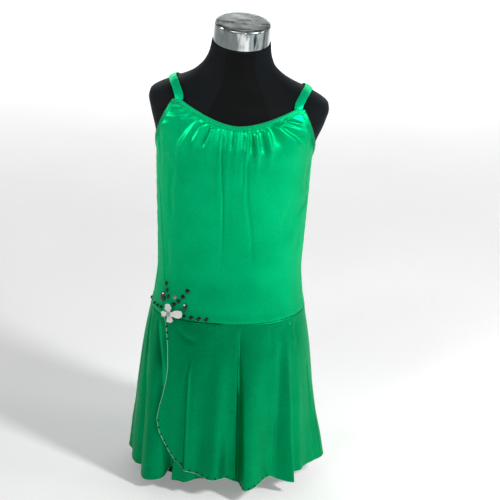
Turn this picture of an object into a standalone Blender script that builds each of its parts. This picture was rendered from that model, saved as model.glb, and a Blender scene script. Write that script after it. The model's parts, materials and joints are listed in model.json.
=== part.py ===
"""A skirted leotard on a limbless dress form with a metal neck cap.

Metres, +Z up, the front faces -Y and the form stands on z = 0. An angle round the body is 0 at the
front and grows towards +X, so a point at angle a and radius r is (r sin a, -r cos a). Every cloth
piece is a closed wall, and neighbouring pieces keep SEAM between them.
"""

import math
from collections import namedtuple

import bmesh
import bpy
from mathutils import Vector

SEAM = 0.0003
WAIST_Z = 0.313

BODICE_WALL = 0.0015
BODICE_CLEAR = 0.0018
BRIEF_CLEAR = 0.0015
GUSSET_CLEAR = 0.0015
LEG_CLEAR = 0.0034
BRIEF_WALL = 0.0012
SKIRT_WALL = 0.0012
BAND_RAISE = 0.0006
STRAP_WIDTH = 0.014
STRAP_THICKNESS = 0.0030
STRAP_BOW = 0.0165

SKIRT_SEAM_ANGLE = 80.0
SIDE_ANGLE_TOP = 86.0
SIDE_ANGLE_WAIST = 79.0

CHANNEL_HALF_WIDTH = 0.036
CHANNEL_TOP = 0.060
CHANNEL_CORNER = 0.013
GUSSET_HALF_WIDTH = 0.021

NECK_TILT = math.radians(14)
CAP_HALF_WIDTH = 0.0475
CAP_HALF_DEPTH = 0.0440
CAP_HEIGHT = 0.036
NECK_TOP_Z = 0.7820
# The neck and its cap stand a little to the left of the lean's line.
NECK_ASIDE = -0.0042

# The shoulders and neck lean a little to the right, which starts between these two heights.
LEAN = math.radians(2.3)
LEAN_FROM_Z, LEAN_TO_Z = 0.56, 0.66

# Moves the finished shape so that the origin lies under the middle of its outline.
SHIFT_X, SHIFT_Y = -0.0060, -0.0020

Section = namedtuple("Section", "z half_width front back power")

FORM = (
    Section(0.000, 0.1040, 0.058, 0.072, 2.5),
    Section(0.005, 0.1165, 0.072, 0.087, 2.5),
    Section(0.016, 0.1300, 0.087, 0.102, 2.4),
    Section(0.038, 0.1395, 0.098, 0.112, 2.4),
    Section(0.080, 0.1440, 0.104, 0.118, 2.3),
    Section(0.140, 0.1460, 0.107, 0.121, 2.3),
    Section(0.195, 0.1460, 0.107, 0.120, 2.3),
    Section(0.240, 0.1430, 0.105, 0.117, 2.3),
    Section(0.280, 0.1375, 0.101, 0.111, 2.3),
    Section(0.313, 0.1320, 0.097, 0.104, 2.3),
    Section(0.350, 0.1265, 0.094, 0.097, 2.3),
    Section(0.395, 0.1225, 0.090, 0.091, 2.3),
    Section(0.440, 0.1240, 0.090, 0.088, 2.3),
    Section(0.490, 0.1260, 0.092, 0.088, 2.3),
    Section(0.540, 0.1280, 0.097, 0.094, 2.3),
    Section(0.585, 0.1295, 0.100, 0.100, 2.3),
    Section(0.610, 0.1325, 0.100, 0.101, 2.4),
    Section(0.630, 0.1380, 0.097, 0.100, 2.4),
    Section(0.648, 0.1440, 0.092, 0.096, 2.5),
    Section(0.665, 0.1490, 0.085, 0.090, 2.6),
    Section(0.680, 0.1525, 0.077, 0.083, 2.6),
    Section(0.690, 0.1505, 0.071, 0.077, 2.6),
    Section(0.698, 0.1410, 0.064, 0.071, 2.5),
    Section(0.706, 0.1260, 0.058, 0.065, 2.4),
    Section(0.7135, 0.1100, 0.053, 0.060, 2.3),
    Section(0.7210, 0.0920, 0.049, 0.056, 2.2),
    Section(0.7310, 0.0750, 0.0465, 0.052, 2.1),
    Section(0.747, 0.0590, 0.0450, 0.049, 2.0),
    Section(0.765, 0.0520, 0.0448, 0.0465, 2.0),
    Section(0.7820, 0.0495, 0.0455, 0.0455, 2.0),
)

SKIRT = (
    Section(0.000, 0.1640, 0.1310, 0.1370, 2.2),
    Section(0.040, 0.1625, 0.1280, 0.1350, 2.2),
    Section(0.080, 0.1610, 0.1240, 0.1320, 2.2),
    Section(0.120, 0.1575, 0.1200, 0.1295, 2.25),
    Section(0.165, 0.1555, 0.1165, 0.1275, 2.3),
    Section(0.205, 0.1525, 0.1135, 0.1260, 2.3),
    Section(0.240, 0.1485, 0.1105, 0.1230, 2.3),
    Section(0.270, 0.1440, 0.1070, 0.1180, 2.3),
    Section(0.290, 0.1405, 0.1045, 0.1135, 2.3),
    Section(0.313, 0.1363, 0.1013, 0.1083, 2.3),
    Section(0.327, 0.1343, 0.1003, 0.1063, 2.3),
)

# Skirt folds: the angle of the crest at the waist and at the hem, its half width in degrees, how far it
# stands out at the hem, where it starts down the skirt (0 waist, 1 hem) and how many degrees it leans.
# A fold with a second half width is that wide on its side towards larger angles.
Fold = namedtuple("Fold", "waist_angle hem_angle half depth start lean far_half", defaults=(None,))
SHARED_FOLDS = (
    Fold(-74, -78, 9, 0.002, 0.25, 0.0),
    Fold(-60, -53, 13, 0.019, 0.12, 2.5),
    Fold(-27, -25, 7, 0.007, 0.30, 0.0),
    Fold(-4, -6, 12, 0.015, 0.08, 0.8),
    Fold(17.6, 18.4, 6.0, 0.029, 0.02, -2.4, 21),
    Fold(52.5, 46.8, 6.0, 0.021, 0.06, 2.4, 6.5),
    Fold(61, 62, 5, 0.004, 0.02, 0.0),
    Fold(82, 84, 15, 0.023, 0.40, 1.5),
    Fold(104, 108, 12, 0.017, 0.15, -2.0),
    Fold(128, 131, 11, 0.022, 0.05, 2.6),
    Fold(150, 153, 12, 0.018, 0.12, -1.5),
    Fold(172, 176, 12, 0.026, 0.03, -3.0),
    Fold(197, 198, 10, 0.015, 0.20, 1.8),
    Fold(219, 221, 12, 0.023, 0.06, 2.4),
    Fold(243, 245, 11, 0.018, 0.10, -2.0),
    Fold(263, 264, 9, 0.009, 0.30, 0.0),
)
UNDER_FOLDS = (
    Fold(-41, -41.5, 5.5, -0.014, 0.40, 0.0),
    Fold(-66, -67, 5.0, -0.006, 0.20, 0.0),
)

# The hem's height round the skirt, by angle. It hangs lower at the left than at the right.
Hem = namedtuple("Hem", "angle z")
HEM = (
    Hem(-90, 0.024),
    Hem(-60, 0.018),
    Hem(-30, 0.023),
    Hem(-6, 0.0385),
    Hem(3, 0.0370),
    Hem(18.5, 0.027),
    Hem(36, 0.0365),
    Hem(46.5, 0.026),
    Hem(54, 0.0325),
    Hem(68, 0.033),
    Hem(90, 0.039),
    Hem(135, 0.036),
    Hem(180, 0.030),
    Hem(225, 0.032),
    Hem(270, 0.024),
)

# The waist seam's height round the body. It rises towards the sides.
WAIST = (
    Hem(-90, 0.3190),
    Hem(-72, 0.3148),
    Hem(-58, 0.3130),
    Hem(0, 0.3130),
    Hem(25, 0.3143),
    Hem(45, 0.3170),
    Hem(66, 0.3210),
    Hem(90, 0.3255),
    Hem(180, 0.3235),
    Hem(252, 0.3220),
    Hem(270, 0.3190),
)

# The front overlay's free left edge, from where its rounded corner starts up to the waist.
Edge = namedtuple("Edge", "z angle")
EDGE = (
    Edge(0.131, -49.8),
    Edge(0.152, -49.2),
    Edge(0.178, -47.4),
    Edge(0.215, -46.3),
    Edge(0.260, -48.7),
    Edge(0.297, -53.1),
    Edge(0.313, -56.5),
)

# The overlay's hem where it rises to that edge in a rounded corner.
CORNER = (
    Hem(-49.8, 0.1310),
    Hem(-47.5, 0.1080),
    Hem(-40, 0.0755),
    Hem(-33, 0.0580),
    Hem(-24, 0.0475),
    Hem(-16, 0.0410),
    Hem(-6, 0.0385),
)
UNDER_END_ANGLE = -12.0

# The under panel's hem is notched where a fold of it turns in beside the overlay's corner.
NOTCH_ANGLE = -41.5
NOTCH_HALF = 3.6
NOTCH_RISE = 0.022

# Soft ridges that run out from the gathered neck edge: angle at the neck and at the foot, height of
# the foot, how far the ridge stands out and its half width in degrees.
Ridge = namedtuple("Ridge", "neck_angle foot_angle foot_z depth half")
RIDGES = (
    Ridge(-62, -66, 0.560, 0.0014, 6.0),
    Ridge(-45, -72, 0.600, 0.0013, 5.0),
    Ridge(-35, -52, 0.565, 0.0016, 5.0),
    Ridge(-29, -38, 0.590, 0.0013, 3.6),
    Ridge(-20, -25, 0.560, 0.0010, 3.4),
    Ridge(-13, -14, 0.480, 0.0011, 3.0),
    Ridge(-5.5, -6, 0.470, 0.0012, 3.0),
    Ridge(2, 2, 0.520, 0.0010, 3.0),
    Ridge(10, 12, 0.500, 0.0012, 3.0),
    Ridge(18, 23, 0.560, 0.0014, 3.2),
    Ridge(27, 34, 0.570, 0.0014, 3.6),
    Ridge(35, 57, 0.575, 0.0019, 5.5),
    Ridge(45, 70, 0.610, 0.0014, 5.0),
    Ridge(62, 78, 0.590, 0.0012, 5.0),
)

# Neck and armhole line of a panel, with angles measured from the panel's own middle.
Neckline = namedtuple("Neckline", "low_z corner_z inner outer neck_power side arm_power drop_power")
FRONT_LINE = Neckline(0.658, 0.689, 54.9, 60.5, 1.75, SIDE_ANGLE_TOP, 1.9, 0.85)
BACK_LINE = Neckline(0.634, 0.676, 50.0, 56.0, 1.9, 180 - SIDE_ANGLE_TOP, 1.3, 0.85)
ARMHOLE_Z = 0.6035
NECK_SHARE = 0.66
STRAP_SHARE = 0.74
BACK_WAIST_SHARE = 0.60

COLOURS = {
    "green cloth": ((0.0, 0.33, 0.11), 0.42, 0.0),
    "black jersey": ((0.006, 0.008, 0.010), 0.85, 0.0),
    "neck cap metal": ((0.60, 0.62, 0.61), 0.25, 1.0),
    "white petal": ((0.86, 0.87, 0.86), 0.6, 0.0),
    "grey bead": ((0.35, 0.36, 0.36), 0.3, 0.4),
    "dark green stone": ((0.003, 0.02, 0.015), 0.08, 0.0),
    "clear stone": ((0.55, 0.60, 0.58), 0.1, 0.0),
}


def material(name):
    """The material of that name, made at its first use."""
    made = bpy.data.materials.get(name)
    if made:
        return made
    colour, roughness, metallic = COLOURS[name]
    made = bpy.data.materials.new(name)
    made.use_nodes = True
    shader = made.node_tree.nodes["Principled BSDF"]
    shader.inputs["Base Color"].default_value = (*colour, 1.0)
    shader.inputs["Roughness"].default_value = roughness
    shader.inputs["Metallic"].default_value = metallic
    made.diffuse_color = (*colour, 1.0)
    return made


def ease(value):
    """0 below 0, 1 above 1 and a smooth step between."""
    value = min(max(value, 0.0), 1.0)
    return value * value * (3 - 2 * value)


def along(table, at, column, key=0):
    """A column's value where the key column is at, on a smooth curve through the table's rows."""
    keys = [row[key] for row in table]
    values = [getattr(row, column) for row in table]
    at = min(max(at, keys[0]), keys[-1])
    i = 0
    while i < len(keys) - 2 and at > keys[i + 1]:
        i += 1

    def slope(j):
        if j in (0, len(keys) - 1):
            return 0.0 if table is HEM else end_slope(j)
        before = (values[j] - values[j - 1]) / (keys[j] - keys[j - 1])
        after = (values[j + 1] - values[j]) / (keys[j + 1] - keys[j])
        if before * after <= 0:
            return 0.0
        return 2 * before * after / (before + after)

    def end_slope(j):
        k = 0 if j == 0 else j - 1
        return (values[k + 1] - values[k]) / (keys[k + 1] - keys[k])

    span = keys[i + 1] - keys[i]
    t = (at - keys[i]) / span
    return (
        values[i] * (1 + 2 * t) * (1 - t) ** 2
        + values[i + 1] * t * t * (3 - 2 * t)
        + span * (slope(i) * t * (1 - t) ** 2 - slope(i + 1) * t * t * (1 - t))
    )


def round_body(table, z, angle, out=0.0):
    """The point of a section table at a height and an angle in degrees, moved out level by out."""
    turn = math.radians(angle)
    side, ahead = math.sin(turn), math.cos(turn)
    wide = along(table, z, "half_width") + out
    deep = along(table, z, "front" if ahead > 0 else "back") + out
    power = along(table, z, "power")
    radius = ((abs(side) / wide) ** power + (abs(ahead) / deep) ** power) ** (-1 / power)
    return Vector((radius * side, -radius * ahead, z))


def angle_at_x(table, z, x):
    """The angle on the front half where a section is x from the middle."""
    low, high = 0.0, 90.0
    for _ in range(40):
        middle = (low + high) / 2
        if round_body(table, z, middle).x < abs(x):
            low = middle
        else:
            high = middle
    return math.copysign(low, x)


def placed(point):
    """A point of the upright shape where the lean of the shoulders and the shift put it."""
    turn = LEAN * ease((point.z - LEAN_FROM_Z) / (LEAN_TO_Z - LEAN_FROM_Z))
    x = point.x + (point.z - LEAN_FROM_Z) * turn + NECK_ASIDE * ease((point.z - 0.712) / 0.036)
    return Vector((x + SHIFT_X, point.y + SHIFT_Y, point.z - point.x * turn))


def finish(mesh_data, name, colour, smooth_angle=40.0):
    """Turn a bmesh into a named object with outward faces and one material."""
    for vert in mesh_data.verts:
        vert.co = placed(vert.co)
    bmesh.ops.recalc_face_normals(mesh_data, faces=mesh_data.faces)
    mesh = bpy.data.meshes.new(name)
    mesh_data.to_mesh(mesh)
    mesh_data.free()
    mesh.shade_smooth()
    mesh.set_sharp_from_angle(angle=math.radians(smooth_angle))
    mesh.materials.append(material(colour))
    made = bpy.data.objects.new(name, mesh)
    bpy.context.scene.collection.objects.link(made)
    return made


def wall(name, outer, inner, colour):
    """A closed wall between two grids of points with the same rows and columns."""
    rows, columns = len(outer), len(outer[0])
    data = bmesh.new()
    skins = [[[data.verts.new(point) for point in row] for row in grid] for grid in (outer, inner)]
    for skin, flip in zip(skins, (False, True)):
        for i in range(rows - 1):
            for j in range(columns - 1):
                corners = (skin[i][j], skin[i][j + 1], skin[i + 1][j + 1], skin[i + 1][j])
                for triangle in ((0, 1, 2), (0, 2, 3)):
                    face = [corners[k] for k in triangle]
                    data.faces.new(face[::-1] if flip else face)
    out, back = skins
    border = [(0, j) for j in range(columns)]
    border += [(i, columns - 1) for i in range(1, rows)]
    border += [(rows - 1, j) for j in range(columns - 2, -1, -1)]
    border += [(i, 0) for i in range(rows - 2, 0, -1)]
    for (i, j), (k, m) in zip(border, border[1:] + border[:1]):
        data.faces.new((out[k][m], out[i][j], back[i][j], back[k][m]))
    return finish(data, name, colour)


def loft(name, rings, colour, smooth_angle=40.0):
    """A solid through closed rings of points, with flat ends."""
    data = bmesh.new()
    made = [[data.verts.new(point) for point in ring] for ring in rings]
    count = len(made[0])
    for lower, upper in zip(made, made[1:]):
        for j in range(count):
            k = (j + 1) % count
            data.faces.new((lower[j], lower[k], upper[k], upper[j]))
    data.faces.new(made[0][::-1])
    data.faces.new(made[-1])
    return finish(data, name, colour, smooth_angle)


def normals(grid):
    """The outward unit normal at each point of a grid whose rows go down and columns go round."""
    rows, columns = len(grid), len(grid[0])
    result = []
    for i in range(rows):
        line = []
        for j in range(columns):
            down = grid[min(i + 1, rows - 1)][j] - grid[max(i - 1, 0)][j]
            across = grid[i][min(j + 1, columns - 1)] - grid[i][max(j - 1, 0)]
            normal = down.cross(across).normalized()
            point = grid[i][j]
            if normal.x * point.x + normal.y * point.y < 0:
                normal.negate()
            line.append(normal)
        result.append(line)
    return result


def moved(grid, field, distance):
    """A grid moved along its normals."""
    return [[p + n * distance for p, n in zip(row, line)] for row, line in zip(grid, field)]


# The dress form


def neck_lean(z, y):
    """How far the tilted top of the neck lifts or drops a point."""
    return y * math.tan(NECK_TILT) * ease((z - 0.728) / (NECK_TOP_Z - 0.728))


def form_heights():
    """Heights of the form's rings: the table's rows, with one more between rows of the bodice."""
    heights = []
    for lower, upper in zip(FORM, FORM[1:]):
        heights.append(lower.z)
        parts = 2 if WAIST_Z <= lower.z < 0.56 else 1
        heights += [lower.z + (upper.z - lower.z) * k / parts for k in range(1, parts)]
    return heights + [FORM[-1].z]


def make_form():
    """The padded torso, with a low arch from front to back between its two flat feet."""
    count = 40
    rings = []
    for z in form_heights():
        ring = [round_body(FORM, z, 360 * j / count) for j in range(count)]
        rings.append([Vector((p.x, p.y, p.z + neck_lean(z, p.y))) for p in ring])
    torso = loft("form_torso", rings, "black jersey")

    profile = [(CHANNEL_HALF_WIDTH, -0.01)]
    for k in range(5):
        turn = math.radians(90 * k / 4)
        profile.append(
            (
                CHANNEL_HALF_WIDTH - CHANNEL_CORNER * (1 - math.cos(turn)),
                CHANNEL_TOP - CHANNEL_CORNER * (1 - math.sin(turn)),
            )
        )
    profile += [(-x, z) for x, z in reversed(profile)]
    ends = [[Vector((x, y, z)) for x, z in profile] for y in (-0.2, 0.2)]
    cutter = loft("arch_cutter", ends, "black jersey")
    cutter.hide_render = True
    cutter.display_type = "WIRE"
    cut = torso.modifiers.new("arch", "BOOLEAN")
    cut.operation = "DIFFERENCE"
    cut.solver = "EXACT"
    cut.object = cutter

    outline = ((1.0, 0.0), (1.0, 0.0305), (0.985, 0.0325), (0.94, CAP_HEIGHT), (0.90, CAP_HEIGHT))
    rings = []
    for scale, height in outline:
        ring = []
        for j in range(32):
            turn = 2 * math.pi * j / 32
            across = CAP_HALF_WIDTH * scale * math.sin(turn)
            ahead = -CAP_HALF_DEPTH * scale * math.cos(turn)
            up = height + SEAM
            ring.append(
                Vector(
                    (
                        across,
                        ahead * math.cos(NECK_TILT) - up * math.sin(NECK_TILT),
                        NECK_TOP_Z + ahead * math.sin(NECK_TILT) + up * math.cos(NECK_TILT),
                    )
                )
            )
        rings.append(ring)
    loft("form_neck_cap", rings, "neck cap metal", 30)


# The bodice


def top_edge(line, share):
    """Angle from the panel's middle and height of its top edge, for a share 0..1 of the half panel."""
    if share <= NECK_SHARE:
        t = share / NECK_SHARE
        return line.inner * t, line.low_z + (line.corner_z - line.low_z) * t**line.neck_power
    if share <= STRAP_SHARE:
        t = (share - NECK_SHARE) / (STRAP_SHARE - NECK_SHARE)
        return line.inner + (line.outer - line.inner) * t, line.corner_z
    t = (share - STRAP_SHARE) / (1 - STRAP_SHARE)
    drop = line.corner_z - ARMHOLE_Z
    return (
        line.outer + (line.side - line.outer) * t**line.arm_power,
        line.corner_z - drop * t**line.drop_power,
    )


def ridges(angle, z, neck_z):
    """How far the gathered ridges lift the front at a point."""
    lift = 0.0
    for ridge in RIDGES:
        if z < ridge.foot_z:
            continue
        t = (neck_z - z) / max(neck_z - ridge.foot_z, 0.001)
        middle = ridge.neck_angle + (ridge.foot_angle - ridge.neck_angle) * t
        off = (angle - middle) / ridge.half
        if abs(off) < 1:
            lift += ridge.depth * (0.5 + 0.5 * math.cos(math.pi * off)) * (1 - t) * ease(t / 0.10)
    return lift


def waist_z(angle):
    """Height of the waist seam at an angle."""
    return along(WAIST, (angle + 90) % 360 - 90, "z")


def bodice_clear(z, angle):
    """The bodice stands a little further off the form just above the waist seam."""
    return BODICE_CLEAR + 0.0011 * ease((waist_z(angle) + 0.018 - z) / 0.018)


BODICE_ROWS = (0.0, 0.05, 0.12, 0.20, 0.29, 0.39, 0.50, 0.61, 0.71, 0.80, 0.88, 0.94)
FRONT_TOP_ROWS = (0.9755, 0.9780, 1.0)
BACK_TOP_ROWS = (0.972, 1.0)


def waist_share(share, at_back):
    """Where a column meets the waist seam. At the back more columns run below the armholes."""
    if not at_back:
        return share
    if share < STRAP_SHARE:
        return share * BACK_WAIST_SHARE / STRAP_SHARE
    return 1 - (1 - share) * (1 - BACK_WAIST_SHARE) / (1 - STRAP_SHARE)


def make_bodice():
    """Front and back panels, each a wall from the waist seam to the neck and armhole edges."""
    for name, line, count, top_rows, at_back in (
        ("bodice_front", FRONT_LINE, 25, FRONT_TOP_ROWS, False),
        ("bodice_back", BACK_LINE, 20, BACK_TOP_ROWS, True),
    ):
        shares = sorted(
            {round(k / count, 5) for k in range(count + 1)} | {NECK_SHARE, STRAP_SHARE}
        )
        shares = [-s for s in reversed(shares[1:])] + shares
        low_side = 180 - SIDE_ANGLE_WAIST if at_back else SIDE_ANGLE_WAIST
        outer, inner = [], []
        for b in BODICE_ROWS + top_rows:
            out_row, in_row = [], []
            for share in shares:
                sign = math.copysign(1, share)
                top_angle, top_z = top_edge(line, abs(share))
                foot = math.copysign(waist_share(abs(share), at_back) * low_side, share)
                bottom = waist_z(180 - foot if at_back else foot) + SEAM
                z = bottom + (top_z - bottom) * b
                angle = waist_share(abs(share), at_back) * low_side
                angle += (top_angle - angle) * b ** (1.4 + 1.2 * share**6 if at_back else 2.6)
                radius = round_body(FORM, z, angle).xy.length
                if abs(share) > 0.999:
                    angle -= math.degrees(SEAM * 0.7 / radius)
                angle *= sign
                lift = 0.0
                if not at_back:
                    lift = ridges(angle, z, top_z)
                raised = BAND_RAISE if b > 0.977 and not at_back else 0.0
                if at_back:
                    angle = 180 - angle
                clear = bodice_clear(z, angle)
                out_row.append(round_body(FORM, z, angle, clear + BODICE_WALL + lift + raised))
                in_row.append(round_body(FORM, z, angle, clear + lift))
            outer.append(out_row)
            inner.append(in_row)
        wall(name, outer, inner, "green cloth")


def shoulder_height(x, y):
    """Height of the form's shoulder above a point of the plan."""
    low, high = 0.62, NECK_TOP_Z
    for _ in range(44):
        middle = (low + high) / 2
        angle = math.degrees(math.atan2(x, -y))
        if round_body(FORM, middle, angle).xy.length > math.hypot(x, y):
            low = middle
        else:
            high = middle
    return low


def strap_place(sign, t):
    """Centre line of a strap on the form, t 0 at the front corner and 1 at the back corner."""
    front_angle = (FRONT_LINE.inner + FRONT_LINE.outer) / 2
    back_angle = 180 - (BACK_LINE.inner + BACK_LINE.outer) / 2
    start = round_body(FORM, FRONT_LINE.corner_z, front_angle)
    stop = round_body(FORM, BACK_LINE.corner_z, back_angle)
    if t <= 0:
        return Vector((sign * start.x, start.y, FRONT_LINE.corner_z + SEAM))
    if t >= 1:
        return Vector((sign * stop.x, stop.y, BACK_LINE.corner_z + SEAM))
    y = start.y + (stop.y - start.y) * t
    x = start.x + (stop.x - start.x) * t + STRAP_BOW * math.sin(math.pi * t)
    return Vector((sign * x, y, shoulder_height(x, y)))


def make_straps():
    """Two narrow turned straps, flat ovals laid over the shoulders."""
    stations = (0.0, 0.03, 0.09, 0.17, 0.26, 0.36, 0.46, 0.56, 0.66, 0.76, 0.85, 0.93, 0.975, 1.0)
    for name, sign in (("strap_left", -1), ("strap_right", 1)):
        path = [strap_place(sign, t) for t in stations]
        rings = []
        for i, centre in enumerate(path):
            ahead = (path[min(i + 1, len(path) - 1)] - path[max(i - 1, 0)]).normalized()
            across = Vector((1, 0, 0))
            up = across.cross(ahead).normalized()
            if up.z < 0:
                up.negate()
            if i in (0, len(path) - 1):
                up = Vector((centre.x * 0.25, centre.y, 0)).normalized()
                across = Vector((-up.y, up.x, 0)).normalized()
                if across.x < 0:
                    across.negate()
            else:
                side = Vector((centre.x, 0, 0)).normalized()
                tilt = 0.55 * math.sin(math.pi * stations[i])
                up = (up + side * tilt).normalized()
                across = ahead.cross(up).normalized()
                if across.x < 0:
                    across.negate()
            lifted = centre + up * (0.0013 + STRAP_THICKNESS / 2)
            ring = []
            for k in range(10):
                turn = 2 * math.pi * k / 10
                wide = STRAP_WIDTH / 2 * math.copysign(abs(math.cos(turn)) ** 0.7, math.cos(turn))
                thick = STRAP_THICKNESS / 2 * math.sin(turn)
                ring.append(lifted + across * wide + up * thick)
            rings.append(ring)
        loft(name, rings, "green cloth", 60)


# The skirt


def skirt_share(z):
    """0 at the waist seam and 1 at the mean hem."""
    return min(max((WAIST_Z - z) / 0.280, 0.0), 1.1)


def fold_effect(folds, angle, z):
    """How far the folds move a point out, and how many degrees they carry it round."""
    down = skirt_share(z)
    out, turn = 0.0, 0.0
    for fold in folds:
        if down <= fold.start:
            continue
        grown = ((down - fold.start) / (1 - fold.start)) ** 1.15
        middle = fold.waist_angle + (fold.hem_angle - fold.waist_angle) * down
        off = (angle - middle + 180) % 360 - 180
        off /= fold.far_half if fold.far_half and off > 0 else fold.half
        if abs(off) < 1:
            shape = 0.5 + 0.5 * math.cos(math.pi * off)
            out += fold.depth * shape * grown
            turn += fold.lean * shape * grown
    return out, turn


def skirt_point(angle, z, folds=SHARED_FOLDS, layer=0.0):
    """A point of the skirt's outer surface."""
    out, turn = fold_effect(folds, angle, z)
    return round_body(SKIRT, z, angle + turn, out + layer)


def hem_z(angle):
    """Height of the hem at an angle."""
    return along(HEM, (angle + 90) % 360 - 90, "z")


def overlay_layer(angle, z):
    """How far the front overlay stands off the under panel where it covers it."""
    return (0.0018 + 0.0016 * skirt_share(z)) * ease((2 - angle) / 14)


def overlay_hem(angle):
    """The overlay's hem, which rises to its free edge in a rounded corner."""
    return along(CORNER, angle, "z") if angle < CORNER[-1].angle else hem_z(angle)


def under_hem(angle):
    """The under panel's hem, with its notch."""
    off = min(abs(angle - NOTCH_ANGLE) / NOTCH_HALF, 1.0)
    return hem_z(angle) + NOTCH_RISE * (0.5 + 0.5 * math.cos(math.pi * off))


SKIRT_ROWS = (0.0, 0.07, 0.17, 0.29, 0.42, 0.55, 0.68, 0.81, 0.91, 1.0)


def make_skirt():
    """Front overlay, the under panel at the left and the back panel."""
    gap = math.degrees(SEAM / 0.14)
    right = SKIRT_SEAM_ANGLE - gap
    count = 52
    outer = []
    for b in SKIRT_ROWS:
        row = []
        low = EDGE[0].angle
        left = along(EDGE, WAIST_Z + (EDGE[0].z - WAIST_Z) * b, "angle")
        for j in range(count + 1):
            angle = left + (right - left) * j / count
            top = waist_z(EDGE[-1].angle + (right - EDGE[-1].angle) * j / count)
            z = top + (overlay_hem(low + (right - low) * j / count) - top) * b
            row.append(skirt_point(angle, z, layer=overlay_layer(angle, z)))
        outer.append(row)
    wall("skirt_front", outer, moved(outer, normals(outer), -SKIRT_WALL), "green cloth")

    for name, start, stop, count, folds, hem in (
        ("skirt_under", -SKIRT_SEAM_ANGLE + gap, UNDER_END_ANGLE, 31, SHARED_FOLDS + UNDER_FOLDS, under_hem),
        ("skirt_back", SKIRT_SEAM_ANGLE + gap, 360 - SKIRT_SEAM_ANGLE - gap, 40, SHARED_FOLDS, hem_z),
    ):
        outer = []
        for b in SKIRT_ROWS:
            row = []
            for j in range(count + 1):
                angle = start + (stop - start) * j / count
                z = waist_z(angle) + (hem(angle) - waist_z(angle)) * b
                row.append(skirt_point(angle, z, folds))
            outer.append(row)
        wall(name, outer, moved(outer, normals(outer), -SKIRT_WALL), "green cloth")


# The brief


def brief_half_angle(z, side_angle, side_z):
    """Half the brief's spread at a height: full at the sides, narrowing to the gusset."""
    if z >= side_z:
        return side_angle
    t = (z - CHANNEL_TOP) / (side_z - CHANNEL_TOP)
    low = angle_at_x(FORM, CHANNEL_TOP + 0.002, GUSSET_HALF_WIDTH)
    return low + (side_angle - low) * t


def make_brief():
    """Front and back of the brief, which meet at the sides and under the arch."""
    heights = (WAIST_Z, 0.285, 0.255, 0.225, 0.195, 0.178, 0.161, 0.144, 0.127, 0.110, 0.093, 0.077)
    heights += (CHANNEL_TOP + 0.003,)
    count = 16
    for name, at_back in (("brief_front", False), ("brief_back", True)):
        side_angle = 90 - math.degrees(SEAM * 0.6 / 0.13)
        grids = []
        for layer in (BRIEF_WALL, 0.0):
            grid = []
            for z in heights:
                out = layer + BRIEF_CLEAR + (LEG_CLEAR - BRIEF_CLEAR) * ease((0.25 - z) / 0.05)
                half = brief_half_angle(z, side_angle, 0.195)
                row = []
                for j in range(count + 1):
                    angle = half * (2 * j / count - 1)
                    row.append(round_body(FORM, z, 180 - angle if at_back else angle, out))
                grid.append(row)
            last = grid[-1]
            under = CHANNEL_TOP - GUSSET_CLEAR - layer
            face = [p.y for p in last]
            for depth in (0.0, 0.012, 1.0):
                row = []
                for p, y in zip(last, face):
                    inward = math.copysign(1, -y)
                    place = y + inward * depth if depth < 1 else math.copysign(SEAM * 0.6, y)
                    x = p.x * GUSSET_HALF_WIDTH / max(abs(last[0].x), 1e-6)
                    row.append(Vector((x, place, under)))
                grid.append(row)
            grids.append(grid)
        wall(name, grids[0], grids[1], "green cloth")


# Stones and flower


def on_cloth(x, z, across, up, out):
    """A point near (x, z) of the front, shifted along the cloth and lifted off the form."""
    middle = angle_at_x(FORM, z, x)
    height = z + up
    step = 0.5
    first, second = round_body(FORM, height, middle - step), round_body(FORM, height, middle + step)
    per_degree = (second - first).length / (2 * step)
    return round_body(FORM, height, middle + across / per_degree, out)


def stone_rim(kind, turn):
    """Outline of a stone, from -1 to 1 each way."""
    side, up = math.cos(turn), math.sin(turn)
    if kind == "marquise":
        return side * abs(side) ** 0.6, up
    if kind == "drop":
        return side * math.sqrt(max(0.0, (1 + up) / 2)) * 1.15, up
    if kind == "heart":
        return side * (0.78 + 0.22 * up), up * 0.85 + 0.2 * abs(side) - 0.1
    return side, up


def stone(name, kind, x, z, size, seat, colour, turn=0.0, height=0.0024):
    """A low faceted stone on the cloth."""
    sides = 10 if max(size) > 0.010 else 8
    levels = ((1.0, 0.0), (1.0, 0.4), (0.55, 1.0))
    if max(size) > 0.010:
        levels = ((1.0, 0.0), (1.0, 0.35), (0.62, 0.85), (0.30, 1.0))
    rings = []
    for scale, level in levels:
        ring = []
        for j in range(sides):
            u, v = stone_rim(kind, 2 * math.pi * (j + 0.5) / sides)
            u, v = u * size[0] / 2 * scale, v * size[1] / 2 * scale
            across = u * math.cos(turn) - v * math.sin(turn)
            up = u * math.sin(turn) + v * math.cos(turn)
            ring.append(on_cloth(x, z, across, up, seat + 1.6 * SEAM + level * height))
        rings.append(ring)
    return loft(name, rings, colour, 20)


# Rows of like stones: where the first one is, the step to the next, how the step turns down, and how
# far the stones sink towards the cloth.
Row = namedtuple("Row", "name kind x z step_x step_z bend count width height sunk")
STONE_ROWS = (
    Row("stone_seam", "round", -0.0706, 0.3200, 0.0127, 0.0, 0.0, 4, 0.0075, 0.0075, 0.0),
    Row("stone_slant", "round", -0.0661, 0.3651, -0.0075, -0.0118, 0.0024, 4, 0.0078, 0.0078, 0.0),
    Row("stone_marquise", "marquise", -0.1026, 0.3686, 0.0019, -0.0105, 0.0, 3, 0.0042, 0.0090, 0.0),
    Row("stone_side", "round", -0.1112, 0.3243, -0.0062, 0.0, 0.0, 4, 0.0060, 0.0060, 0.0002),
)

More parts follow.
